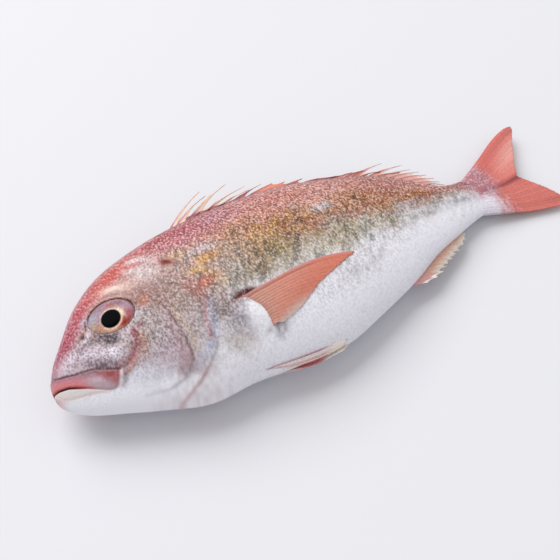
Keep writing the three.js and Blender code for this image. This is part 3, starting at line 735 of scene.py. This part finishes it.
# Pale grains mixed into the colour: painted glints.
glinted = node(tree, "ShaderNodeMix", data_type="RGBA", blend_type="MIX")
tree.links.new(light.outputs[0], glinted.inputs[0])
tree.links.new(flecked.outputs[2], glinted.inputs[6])
glinted.inputs[7].default_value = (*linear(GLINT_COLOUR), 1)
tree.links.new(glinted.outputs[2], shader.inputs["Base Color"])
rough = node(tree, "ShaderNodeMapRange", {"Value": fine, "From Min": 0.3, "From Max": 0.7,
                                          "To Min": 0.28, "To Max": 0.48})
tree.links.new(rough.outputs["Result"], shader.inputs["Roughness"])
pits = node(tree, "ShaderNodeBump", {"Height": grain, "Strength": 0.5, "Distance": PIT_DEPTH * MM})
pores = node(tree, "ShaderNodeBump", {"Height": fine, "Strength": 0.4, "Distance": PORE_DEPTH * MM,
                                      "Normal": pits.outputs["Normal"]})
tree.links.new(pores.outputs["Normal"], shader.inputs["Normal"])
shader.inputs["IOR"].default_value = 1.4
shader.inputs["Coat Weight"].default_value = 0.08
shader.inputs["Coat Roughness"].default_value = 0.25
skin.data.materials.append(fish_skin)
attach(skin, "root")
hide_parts("fish")

# Dorsal fin
# Twelve stiff spines in front and twelve soft rays behind, joined by thin skin notched between them.
# The fin is half folded: its first spines stand off the back and the others lie along it.

# Fin skin, a moist film over bony rays: smoother than the scales and without their dark specks.
# Its faint dust is drawn coarser than it is, so that it shows.
DUST_GRAIN = 1.2
FILM_DEPTH = 0.2
thin_skin = bpy.data.materials.new("thin_fin_skin")
thin_skin.use_nodes = True
tree = thin_skin.node_tree
shader = tree.nodes["Principled BSDF"]
where = node(tree, "ShaderNodeTexCoord").outputs["Object"]
fin_pigment = node(tree, "ShaderNodeAttribute", attribute_name="pigment").outputs["Color"]
dust = node(tree, "ShaderNodeTexNoise", {"Vector": where, "Scale": 1 / (DUST_GRAIN * MM), "Detail": 2.0})
dust = dust.outputs["Fac"]
dusty = node(tree, "ShaderNodeMapRange", {"Value": dust, "From Min": 0.35, "From Max": 0.65,
                                          "To Min": 0.9, "To Max": 1.08}).outputs["Result"]
dusty = node(tree, "ShaderNodeVectorMath", {0: fin_pigment, 1: dusty}, operation="MULTIPLY")
tree.links.new(dusty.outputs["Vector"], shader.inputs["Base Color"])
film = node(tree, "ShaderNodeBump", {"Height": dust, "Strength": 0.15, "Distance": FILM_DEPTH * MM})
tree.links.new(film.outputs["Normal"], shader.inputs["Normal"])
shader.inputs["Roughness"].default_value = 0.42
shader.inputs["IOR"].default_value = 1.38

ROOT_DEPTH = 2.5
THINNEST_SHARE = 0.05
SHORT_ROWS = 24


def blade(name, rays, rows, middle, thickness, colours, turned=False, ray_columns=14):
    """A thin closed sheet: u is 0 to 1 along its root, backwards where turned, and v along its rays."""
    bpy.ops.object.select_all(action="DESELECT")
    bpy.ops.mesh.primitive_grid_add(x_subdivisions=ray_columns * (rays - 1), y_subdivisions=rows, size=1)
    sheet = bpy.context.object
    sheet.name = name
    flat = places_of(sheet)
    u, v = flat[:, 0] + 0.5, flat[:, 1] + 0.5
    if turned:
        u = 1 - u
    move_to(sheet, to_frame(lay(middle(u, v))))
    paint_points(sheet, "pigment", colours(u, v))
    thick = thickness(u, v)
    most = thick.max()
    group = sheet.vertex_groups.new(name="thickness")
    for index, weight in enumerate(thick / most):
        group.add((index,), weight, "REPLACE")
    shell = sheet.modifiers.new("thickness", "SOLIDIFY")
    shell.thickness = most * MM
    shell.offset = 0
    shell.vertex_group = "thickness"
    shell.thickness_vertex_group = THINNEST_SHARE
    bpy.ops.object.modifier_apply(modifier="thickness")
    move_within_box(sheet, places_of(sheet))
    face_outwards()
    bpy.ops.object.shade_smooth()
    sheet.data.materials.append(thin_skin)
    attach(sheet, "root")
    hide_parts("fish")


def ray_ridge(u, rays, width=0.16):
    """1 along each ray and 0 on the skin between them."""
    place = u * (rays - 1)
    return hill(place, np.round(place), width)


def over_rays(u, v, rays, skin_gap, ray_foot, tip_share, width=0.16):
    """Thickness of the skin between the rays and of the rays, of which a share is left at the tip."""
    return blend(skin_gap, ray_foot, ray_ridge(u, rays, width)) * blend(1, tip_share, v)


def notch(u, depths):
    """How far the skin behind each ray falls short: nothing at that ray and most before the next."""
    place = np.clip(u * (len(depths) - 1), 0, len(depths) - 1)
    share = place % 1
    deep = np.array(depths)[np.floor(place).astype(int)]
    return deep * np.where(share < 0.8, (share / 0.8) ** 0.5, (1 - share) / 0.2)


def along(u, values):
    """The values strung evenly from u 0 to u 1."""
    return np.interp(u, np.linspace(0, 1, len(values)), values)


def along_edge(u, places):
    """X and Y of the places strung evenly from u 0 to u 1."""
    return [along(u, column) for column in zip(*places)]


def mixed(colours, weights):
    """Colours laid one over the other, each as thick as its weight."""
    result = np.tile(linear(colours[0]), (len(weights[0]), 1))
    for colour, weight in zip(colours[1:], weights):
        result = laid_over(result, weight, colour)
    return result


SPINES = 12
SPINE_ROOTS = (87, 90.5, 97, 102, 110, 118, 127, 138, 149, 161, 172, 184)
SPINE_TIPS = (118.3, 119.5, 133.3, 142.5, 143.5, 152, 158, 165, 175, 183, 193, 203)
SPINE_RISES = (17.5, 12.6, 14.8, 9.6, 7.2, 9.0, 7.8, 6.4, 5.4, 3.2, 3.2, 4.4)
SPINE_ARCH = 2.6
SPINE_WAVER = 1.2
SPINE_NOTCHES = (0.75, 0.88, 0.78, 0.74, 0.68, 0.58, 0.12, 0.3, 0.4, 0.1, 0.1, 0)
# A ridge of skin joins the feet of the spines. Its height is measured from the sunk root.
FRONT_RIDGE = 6.2
REAR_RIDGE = 4.4


def spiny_reach(u, v):
    return v * (1 - notch(u, SPINE_NOTCHES))


def spiny_middle(u, v):
    root_x = along(u, SPINE_ROOTS)
    tip_x = along(u, SPINE_TIPS)
    root = points(root_x, back_at(root_x) - ROOT_DEPTH, 0)
    tip = points(tip_x, back_at(tip_x) + along(u, SPINE_RISES), SPINE_WAVER * np.sin(9 * u))
    reach = spiny_reach(u, v)
    arch = (SPINE_ARCH - 1.2 * ramp(u, 0.2, 0.6)) * np.sin(math.pi * reach)
    place = blend(root, tip, reach[:, None]) + points(0, arch, 0)
    ridge = blend(FRONT_RIDGE, REAR_RIDGE, ramp(u, 0.42, 0.52)) * ramp(v, 0, 0.3) * ramp(u, 0.12, 0.22)
    place[:, 1] = np.maximum(place[:, 1], back_at(place[:, 0]) - ROOT_DEPTH + ridge)
    return place


def spiny_colours(u, v):
    ray = ray_ridge(u, SPINES, 0.2)
    front = fade(u, 0.36, 0.48)
    hump = hill(u, 0.62, 0.1)
    return mixed(
        ("#A2606A", "#EBC9C0", "#C48A8E", "#F2CDB0", "#DC8C74", "#98545E"),
        (front * ramp(v, 0.2, 0.5), ray * front * 0.5 * fade(v, 0.5, 0.8), front * ramp(v, 0.6, 0.95),
         np.maximum(hump * ramp(v, 0.4, 0.75), 0.6 * ramp(u, 0.7, 0.8) * ramp(v, 0.8, 0.95)),
         0.95 * fade(spiny_reach(u, v), 0.26, 0.36) * ramp(u, 0.12, 0.22)),
    )


def spiny_thickness(u, v):
    ridge = 1.6 * fade(spiny_reach(u, v), 0.16, 0.34)
    return over_rays(u, v, SPINES, 0.35, 1.2, 0.3) + ridge


blade("dorsal_spines", SPINES, SHORT_ROWS, spiny_middle, spiny_thickness, spiny_colours)

SOFT_RAYS = 12
SOFT_ROOTS = (184, 190, 194, 198, 203, 207, 211, 216, 220.5, 225, 229.5, 234)
SOFT_TIPS = ((203, 44.0), (212, 42.4), (223.5, 42.6), (219.5, 37.6), (234, 36.4), (230, 32.2), (237, 31.6),
             (240.5, 28), (243.5, 24.2), (246, 20.2), (247.6, 16.6), (249, 13.6))
SOFT_ARCH = 1.7
SOFT_NOTCHES = (0.2, 0.3, 0.55, 0.75, 0.5, 0.6, 0.45, 0.35, 0.3, 0.3, 0.3, 0)


def soft_middle(u, v):
    root_x = along(u, SOFT_ROOTS)
    root = points(root_x, back_at(root_x) - ROOT_DEPTH, 0)
    tip = points(*along_edge(u, SOFT_TIPS), 1.5 - 1.5 * u)
    reach = v * (1 - notch(u, SOFT_NOTCHES))
    return blend(root, tip, reach[:, None]) + points(0, SOFT_ARCH * np.sin(math.pi * reach), 0)


def soft_colours(u, v):
    ray = ray_ridge(u, SOFT_RAYS)
    tufts = hill(u, 0.26, 0.16)
    return mixed(
        ("#DDA79E", "#D07A70", "#A8626A", "#F0D8CE", "#9C5A62"),
        (tufts, ray * 0.5, ramp(v, 0.72, 1) * 0.8, fade(v, 0.12, 0.45)),
    )


blade("dorsal_rays", SOFT_RAYS, SHORT_ROWS, soft_middle,
      lambda u, v: over_rays(u, v, SOFT_RAYS, 0.35, 1.1, 0.35), soft_colours)

# Tail fin
# Seventeen main rays that split towards the forked rear edge, with thin skin between them.
# Scales creep over its thick fleshy base, and the upper lobe lies a little over the lower one.
TAIL_RAYS = 17
TAIL_ROWS = 70
FLESHY_BASE = 8.4
TAIL_ROOT = (257, -2.2)
TAIL_ROOT_CURVE = 4
UPPER_ROOT_HEIGHT = 10.8
LOWER_ROOT_HEIGHT = 11.6
UPPER_EDGE = ((292, -1), (298, 8.4), (304.2, 16.3), (310.6, 24), (315.6, 30.3), (316, 32.8), (312, 33.7))
LOWER_EDGE = ((292, -1), (296.2, -5.6), (299, -11), (302.6, -17.4), (306.8, -24.9), (309.8, -29.6),
              (308, -31.4))


def tail_middle(u, v):
    w = 1 - 2 * u
    root_height = np.where(w > 0, UPPER_ROOT_HEIGHT, LOWER_ROOT_HEIGHT)
    root = points(TAIL_ROOT[0] - TAIL_ROOT_CURVE * w * w, TAIL_ROOT[1] + root_height * w, 0)
    away = np.abs(w)
    edge = np.where(w > 0, along_edge(away, UPPER_EDGE), along_edge(away, LOWER_EDGE))
    tip = points(*edge, 2.5 * (1 - away) - 0.8 * np.sign(w) * away)
    frayed = 0.012 * (cloud(80 * u, 0, 0.5, 61) - 0.3)
    reach = v * (1 - frayed)
    swell = w * np.where(w > 0, 1.7 * np.sin(math.pi * reach ** 2.5), np.sin(math.pi * reach ** 1.5))
    wave = 0.7 * np.sin(9 * w) * reach ** 2 + 1.1 * reach * hill(w, 0.04, 0.05)
    return blend(root, tip, reach[:, None]) + points(0, swell, wave)


def tail_stripe(u, v):
    """Rays that double where they split, near a third and two thirds of their length."""
    once = ray_ridge(u, TAIL_RAYS, 0.2)
    twice = ray_ridge(u, 2 * TAIL_RAYS - 1, 0.22)
    often = ray_ridge(u, 4 * TAIL_RAYS - 3, 0.25)
    split = blend(once, twice, ramp(v, 0.3, 0.45))
    return blend(split, often, ramp(v, 0.62, 0.78) * 0.7)


def tail_thickness(u, v):
    w = 1 - 2 * u
    x = tail_middle(u, v)[:, 0]
    flesh = FLESHY_BASE * np.sqrt(np.clip(1 - np.abs(w) ** 3, 0, 1)) * fade(x, 260, 290)
    rays = blend(0.55, 0.9, tail_stripe(u, v)) * blend(1, 0.45, v)
    return np.maximum(rays, flesh)


def tail_colours(u, v):
    w = 1 - 2 * u
    place = tail_middle(u, v)
    x, y = place[:, 0], place[:, 1]
    stripe = tail_stripe(u, v)
    upper = ramp(w, -0.02, 0.04)
    creep = x + 5 * (cloud(x, y, 1.5, 31, 2.0, 0) - 0.5)
    fleshy = fade(creep, 269 + 2 * upper, 280 + 2 * upper)
    fleshy *= 1 - 0.75 * fade(y, -13, -5)
    silvery = fade(creep, 262, 276) * fade(y, -10, -2)
    pale = hill(w, 0.36, 0.26) * ramp(v, 0.4, 0.95) * upper
    colours = mixed(
        ("#D2746A", "#BE5E5C", "#DC9088", "#DFA49A", "#E4B2AA", "#A04C56", "#A46E7C", "#E8E8F5",
         "#CA5C58"),
        ((1 - stripe) * 0.35, stripe * 0.35 * ramp(v, 0.3, 0.6), pale * 0.55, 0.35 * pale * stripe,
         hill(w, -0.05, 0.05) * ramp(v, 0.25, 0.5) * 0.75, fleshy * 0.85, silvery * 0.9,
         0.3 * upper * (1 - pale) * (1 - fleshy)),
    )
    # Pale flecks over the scaly base of the tail are painted glints of its silver.
    sparkle = np.maximum(fleshy, hill(creep, 272, 6) * fade(y, -12, -4))
    flecks = 0.4 * sparkle * ramp(cloud(x, y, 0.7, 35, 1.4, -10), 0.5, 0.8)
    threads = 0.8 + 0.34 * cloud(60 * u, 2 * v, 0.35, 34, 8.0)
    return laid_over(colours, flecks, "#EFDDE4") * threads[:, None]


blade("tail_fin", TAIL_RAYS, TAIL_ROWS, tail_middle, tail_thickness, tail_colours, ray_columns=24)

# Pectoral fins
# Fifteen soft rays fold back along each flank from a fleshy lobe behind the gill cover.
# The front ray is the stoutest; the skin between the rays is thin, beige at the root and coral at the tip.
PECTORAL_RAYS = 15
PECTORAL_ROWS = 60
PECTORAL_ROOT = (94, -10)
PECTORAL_ROOT_BEND = 12
PECTORAL_ROOT_HEIGHT = 19.5
PECTORAL_TIPS = ((167, -12.4), (158.5, -14.6), (151, -16.8), (144, -18.9), (137.5, -21), (131.5, -24),
                 (125, -27), (118, -29.2), (111, -30.2))


def on_flank(x, y, out, side):
    return points(x, y, side * (half_width(x, y) + out))


def pectoral_colours(u, v):
    few, many = ray_ridge(u, PECTORAL_RAYS, 0.25), ray_ridge(u, 2 * PECTORAL_RAYS - 1, 0.28)
    stripe = blend(few, many, ramp(v, 0.4, 0.6))
    rear = ramp(u + 0.3 * v, 0.78, 1.15)
    colours = mixed(
        ("#CE8270", "#C08C7C", "#D8745C", "#CFA092", "#B87468", "#EAD6CE", "#CE9094", "#8E4E50"),
        (fade(v, 0.1, 0.5), ramp(v, 0.45, 0.95) * (1 - 0.4 * u), stripe * 0.3,
         (1 - stripe) * 0.18, rear * ramp(v, 0.3, 0.9) * 0.85,
         fade(u, 0.0, 0.035) * 0.85, hill(u, 0.075, 0.02) * fade(v, 0.5, 0.9) * 0.6),
    )
    return colours * (0.88 + 0.22 * cloud(120 * u, 3 * v, 0.8, 36, 6.0))[:, None]


def pectoral_thickness(u, v):
    front_ray = 0.5 * fade(u, 0.02, 0.08)
    return over_rays(u, v, PECTORAL_RAYS, 0.4 + front_ray, 0.62 + front_ray, 0.35, 0.22)


for side_name, side in (("left", 1), ("right", -1)):
    def pectoral_middle(u, v, side=side):
        lift, root_lift, clear = (1.6, 2.4, 0.5) if side > 0 else (0.3, 0.3, 0.2)
        root_x = PECTORAL_ROOT[0] + PECTORAL_ROOT_BEND * np.sin(u * math.pi / 2)
        root = on_flank(root_x, PECTORAL_ROOT[1] - PECTORAL_ROOT_HEIGHT * u, -1.5, side)
        tip = on_flank(*along_edge(u, PECTORAL_TIPS), clear, side)
        reach = v * (1 - 0.025 * cloud(90 * u, 0, 1.0, 62))
        rise = lift * np.sin(math.pi * reach) + root_lift * np.minimum(reach * 6, 1) * (1 - reach)
        arch = np.sin(math.pi * reach ** 1.7)
        bow = points(0, 3.6 * (1 - u) ** 2 * arch, side * rise)
        return blend(root, tip, reach[:, None]) + bow

    blade("pectoral_fin_" + side_name, PECTORAL_RAYS, PECTORAL_ROWS, pectoral_middle, pectoral_thickness,
          pectoral_colours, turned=side > 0, ray_columns=12)

# Pelvic fins
# One spine and five soft rays each, folded shut like a fan against the belly beside the middle line.
PELVIC_RAYS = 6
PELVIC_ROWS = 50
PELVIC_ROOT = (94, -43.5)
PELVIC_TIP = (139, -48.8)
RIGHT_TIP_DROP = 1.6
for side_name, side in (("left", 1), ("right", -1)):
    def pelvic_middle(u, v, side=side):
        root = points(PELVIC_ROOT[0] + 5 * u, PELVIC_ROOT[1] - 1.2 * u, side * (4.5 - 2.5 * u))
        tip = points(PELVIC_TIP[0] - 4 * u, PELVIC_TIP[1] - 1.6 * u, 3.4 - 2.4 * u)
        if side < 0:
            tip = points(PELVIC_TIP[0] - 4 * u, PELVIC_TIP[1] - RIGHT_TIP_DROP - 1.6 * u, 0.4)
        reach = v * (1 - 0.04 * cloud(60 * u, 0, 1.0, 63))
        swell = np.sin(math.pi * np.minimum(reach * 1.05, 1))
        fold = 0.35 * np.cos(2 * math.pi * u * (PELVIC_RAYS - 1)) * reach
        bow = points(0, -(0.6 + 1.7 * u) * swell, side * (1.2 * (1 - u) * swell + fold))
        place = blend(root, tip, reach[:, None]) + bow
        if side > 0:
            clear = half_width(place[:, 0], place[:, 1]) + 0.6 * ramp(v, 0.02, 0.1)
            place[:, 2] = np.maximum(place[:, 2], clear)
        return place

    def pelvic_colours(u, v, side=side):
        before_tip = fade(v, 0.66, 0.9)
        if side < 0:
            return mixed(("#ECC0BC", "#DE8280", "#F8F0E8"),
                         (ramp(v, 0.25, 0.45) * before_tip * 0.8, ramp(v, 0.6, 0.76)))
        return mixed(
            ("#F4E8EA", "#A87080", "#D2AAA2", "#D87478", "#F6ECE4"),
            (hill(u, 0.04, 0.08) * before_tip, hill(u, 0.66, 0.13) * before_tip * 0.8,
             hill(u, 0.97, 0.1) * ramp(v, 0.2, 0.4) * before_tip, (1 - before_tip) * 0.8),
        )

    blade("pelvic_fin_" + side_name, PELVIC_RAYS, PELVIC_ROWS, pelvic_middle,
          lambda u, v: over_rays(u, v, PELVIC_RAYS, 0.4, 1.0, 0.35, 0.22), pelvic_colours, turned=side > 0)

# Anal fin
# Three spines and eight soft rays under the rear of the belly, folded back.
# The thin skin between them is tan, pale along the front spine and frayed at its edge.
ANAL_RAYS = 11
ANAL_START = 182.5
ANAL_END = 232
ANAL_ROOT_DEPTH = 3
ANAL_TIPS = ((200, -38.2), (209, -37.4), (214.5, -34.4), (219, -32.6), (223.5, -30.8), (229, -28.5),
             (235.5, -25.3), (239.5, -20.6))


def anal_middle(u, v):
    root_x = blend(ANAL_START, ANAL_END, 1 - u)
    root = points(root_x, belly_at(root_x) + ANAL_ROOT_DEPTH, 0)
    tip = points(*along_edge(1 - u, ANAL_TIPS), -1.5)
    between_rays = ray_ridge(u + 0.5 / (ANAL_RAYS - 1), ANAL_RAYS, 0.3)
    reach = v * (1 - 0.15 * between_rays - 0.13 * cloud(90 * u, 0, 0.6, 64))
    return blend(root, tip, reach[:, None])


def anal_colours(u, v):
    ray = ray_ridge(u, ANAL_RAYS)
    front = ramp(u, 0.72, 0.88)
    return mixed(
        ("#CDAC92", "#C8988A", "#CBAF9E", "#D2C8C2", "#D49C9E", "#F8F2F4"),
        (fade(v, 0.4, 0.8), ray * 0.4 * fade(v, 0.6, 0.9), ramp(v, 0.5, 0.95) * (1 - front) * 0.9,
         front * fade(v, 0.75, 0.9) * 0.85, front * ramp(v, 0.75, 0.9)),
    )


blade("anal_fin", ANAL_RAYS, SHORT_ROWS, anal_middle,
      lambda u, v: over_rays(u, v, ANAL_RAYS, 0.35, 1.1, 0.3), anal_colours)

# Eyes
# Each is a wet ball that fills its socket: a black pupil in a thin cream ring, set towards the snout,
# and an iris that is red behind and below, lilac in front and above, all under clear jelly.
PUPIL_PLACE = (39.8, 12.9)
PUPIL_RADIUS = 5.0
EYE_BULGE = 2.6
EYE_BACK = 4
EYE_SUNK = 0.5
EYE_OVERLAP = 0.25
EYE_CLEARANCE = 0.4
EYE_SEGMENTS = 144
EYE_RINGS = 110
IRIS_GRAIN = 1.1

# The clear wet skin of the eye mirrors very little here, so a black pupil and a dull iris show through it.
eye_jelly = bpy.data.materials.new("clear_wet_cornea")
eye_jelly.use_nodes = True
tree = eye_jelly.node_tree
shader = tree.nodes["Principled BSDF"]
where = node(tree, "ShaderNodeTexCoord").outputs["Object"]
iris = node(tree, "ShaderNodeAttribute", attribute_name="pigment").outputs["Color"]
threads = node(tree, "ShaderNodeTexNoise", {"Vector": where, "Scale": 1 / (IRIS_GRAIN * MM),
                                            "Detail": 2.0}).outputs["Fac"]
threads = node(tree, "ShaderNodeMapRange", {"Value": threads, "From Min": 0.35, "From Max": 0.65,
                                            "To Min": 0.75, "To Max": 1.15}).outputs["Result"]
streaked = node(tree, "ShaderNodeVectorMath", {0: iris, 1: threads}, operation="MULTIPLY")
tree.links.new(streaked.outputs["Vector"], shader.inputs["Base Color"])
shader.inputs["Roughness"].default_value = 0.2
shader.inputs["Specular IOR Level"].default_value = 0.012
shader.inputs["Coat Weight"].default_value = 0.008
shader.inputs["Coat Roughness"].default_value = 0.06
shader.inputs["IOR"].default_value = 1.38


# Patches of the iris: strength, how cloudy, place, size, tilt and colour
IRIS_PATCHES = (
    (1, 0, (31.5, 19.0), (4, 5), -30, "#A9A4B4"), (1, 0, (36.4, 22.4), (4, 2.6), 10, "#9A8290"),
    (1, 0, (43.2, 20.1), (4, 1.6), -30, "#B07074"), (1, 0.5, (48.8, 15.5), (3, 4.6), 10, "#B090A0"),
    (0.8, 0, (46.6, 19), (2, 1.5), -40, "#7E6A70"), (1.2, 0, (45.6, 7.6), (4.4, 2.8), 38, "#A03C32"),
    (1, 0, (48.4, 10.6), (2.6, 2.8), 60, "#A85F66"), (0.9, 0, (33, 11.2), (2.8, 2.4), -30, "#BC8A6E"),
    (0.8, 0, (30.6, 14.0), (1.8, 2.4), -20, "#BBAA8C"), (1, 0, (37.4, 7.4), (3.6, 1.5), -30, "#DDB096"),
    (0.8, 0, (41, 6.2), (2, 1), 0, "#D08A78"),
)


def eye_colours(x, y):
    away = np.hypot(x - PUPIL_PLACE[0], y - PUPIL_PLACE[1])
    rim = from_socket(x, y)
    specks = cloud(x, y, 1.2, 51)
    colours = np.tile(linear("#A98C98"), (len(x), 1))
    for strength, cloudy, place, size, tilt, colour in IRIS_PATCHES:
        amount = strength * (1 - cloudy + cloudy * specks) * spot(x, y, place, size, tilt)
        colours = laid_over(colours, amount, colour)
    bright = 0.3 + 0.7 * np.maximum(ramp(x + 0.3 * y, 40, 47), fade(y, 8, 12))
    colours = laid_over(colours, hill(away, PUPIL_RADIUS + 0.45, 0.42) * bright, "#EFCDB0")
    # The pale streak beside the pupil, towards the tail, is a painted highlight on the wet eye.
    colours = laid_over(colours, 1.1 * spot(x, y, (45.6, 13.8), (1.1, 3.0), 12), "#F6DFC8")
    colours = laid_over(colours, fade(away, PUPIL_RADIUS - 0.3, PUPIL_RADIUS + 0.1), "#05070B")
    # The dark band under the upper rim is the painted shadow of the lid.
    colours = laid_over(colours, ramp(rim, 0.85, 1.0) * ramp(y + 0.3 * x, 24, 32), "#4E2C28")
    return laid_over(colours, 0.6 * ramp(rim, 0.9, 1.0) * fade(y + 0.3 * x, 22, 26), "#B08A82")


for eye_name, eye_side in (("eye_left", 1), ("eye_right", -1)):
    bpy.ops.object.select_all(action="DESELECT")
    bpy.ops.mesh.primitive_uv_sphere_add(segments=EYE_SEGMENTS, ring_count=EYE_RINGS, radius=1)
    eye = bpy.context.object
    eye.name = eye_name.replace("eye", "eyeball")
    unit = places_of(eye)
    tilt = math.radians(SOCKET_TILT)
    length, height = (unit[:, axis] * (SOCKET_RADII[axis] + EYE_OVERLAP) for axis in (0, 1))
    eye_x = EYE_PLACE[0] + length * math.cos(tilt) - height * math.sin(tilt)
    eye_y = EYE_PLACE[1] + length * math.sin(tilt) + height * math.cos(tilt)
    swell = EYE_BULGE * np.maximum(unit[:, 2], 0) ** 0.8 + EYE_BACK * np.minimum(unit[:, 2], 0)
    out = half_width(eye_x, eye_y) - EYE_SUNK + swell
    eye_place = lay(points(eye_x, eye_y, eye_side * out))
    eye_place[:, 2] = np.maximum(eye_place[:, 2], EYE_CLEARANCE + 0.2 * unit[:, 2])
    move_to(eye, to_frame(eye_place))
    paint_points(eye, "pigment", eye_colours(eye_x, eye_y))
    if eye_side < 0:
        face_outwards()
    bpy.ops.object.shade_smooth()
    eye.data.materials.append(eye_jelly)
    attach(eye, "root")
    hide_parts(eye_name)

# Table, light and camera
# The table is a plain pale surface. One broad soft light stands beyond the fish's back,
# and the light of the room fills in.
TABLE_SIZE = 6
bpy.ops.object.select_all(action="DESELECT")
bpy.ops.mesh.primitive_plane_add(size=TABLE_SIZE)
table = bpy.context.object
table.name = "table"

# Smooth pale paint without grain: a dull, nearly white ground that a soft shadow shows on.
table_paint = bpy.data.materials.new("pale_table")
table_paint.use_nodes = True
shader = table_paint.node_tree.nodes["Principled BSDF"]
shader.inputs["Base Color"].default_value = (*linear("#DEDFE5"), 1)
shader.inputs["Roughness"].default_value = 0.7
table.data.materials.append(table_paint)

VIEW_AZIMUTH = math.radians(-30.56)
VIEW_ELEVATION = math.radians(55)
VIEW_ROLL = math.radians(-0.4)
VIEW_DISTANCE = 414.7
VIEW_AIM = (127.3, -1.3, 20.55)
VIEW_ANGLE = math.radians(39)
SENSOR_WIDTH = 36
back = Vector((math.sin(VIEW_AZIMUTH) * math.cos(VIEW_ELEVATION),
               -math.cos(VIEW_AZIMUTH) * math.cos(VIEW_ELEVATION), math.sin(VIEW_ELEVATION)))
level = (-back).cross(Vector((0, 0, 1))).normalized()
upright = level.cross(-back)
right = level * math.cos(VIEW_ROLL) + upright * math.sin(VIEW_ROLL)
up = upright * math.cos(VIEW_ROLL) - level * math.sin(VIEW_ROLL)
stand = Vector(to_frame(np.array(VIEW_AIM))) + back * VIEW_DISTANCE * MM
camera = bpy.data.objects.new("camera", bpy.data.cameras.new("camera"))
camera.data.sensor_width = SENSOR_WIDTH
camera.data.lens = SENSOR_WIDTH / 2 / math.tan(VIEW_ANGLE / 2)
camera.data.clip_start = 0.01
camera.matrix_world = Matrix.Translation(stand) @ Matrix((right, up, back)).transposed().to_4x4()
bpy.context.collection.objects.link(camera)
bpy.context.scene.camera = camera

WINDOW_SIZE = 4.8
WINDOW_WATTS = 312
WINDOW_PLACE = (-0.8, 3.94, 4.46)
ROOM_BRIGHTNESS = 0.67
key = bpy.data.objects.new("window", bpy.data.lights.new("window", "AREA"))
key.data.size = WINDOW_SIZE
key.data.energy = WINDOW_WATTS
key.location = WINDOW_PLACE
key.rotation_euler = (-key.location).to_track_quat("-Z", "Y").to_euler()
bpy.context.collection.objects.link(key)
world = bpy.data.worlds.new("room")
world.use_nodes = True
world.node_tree.nodes["Background"].inputs["Color"].default_value = (*linear("#F5F3F1"), 1)
world.node_tree.nodes["Background"].inputs["Strength"].default_value = ROOM_BRIGHTNESS
bpy.context.scene.world = world
bpy.context.scene.view_settings.view_transform = "Standard"
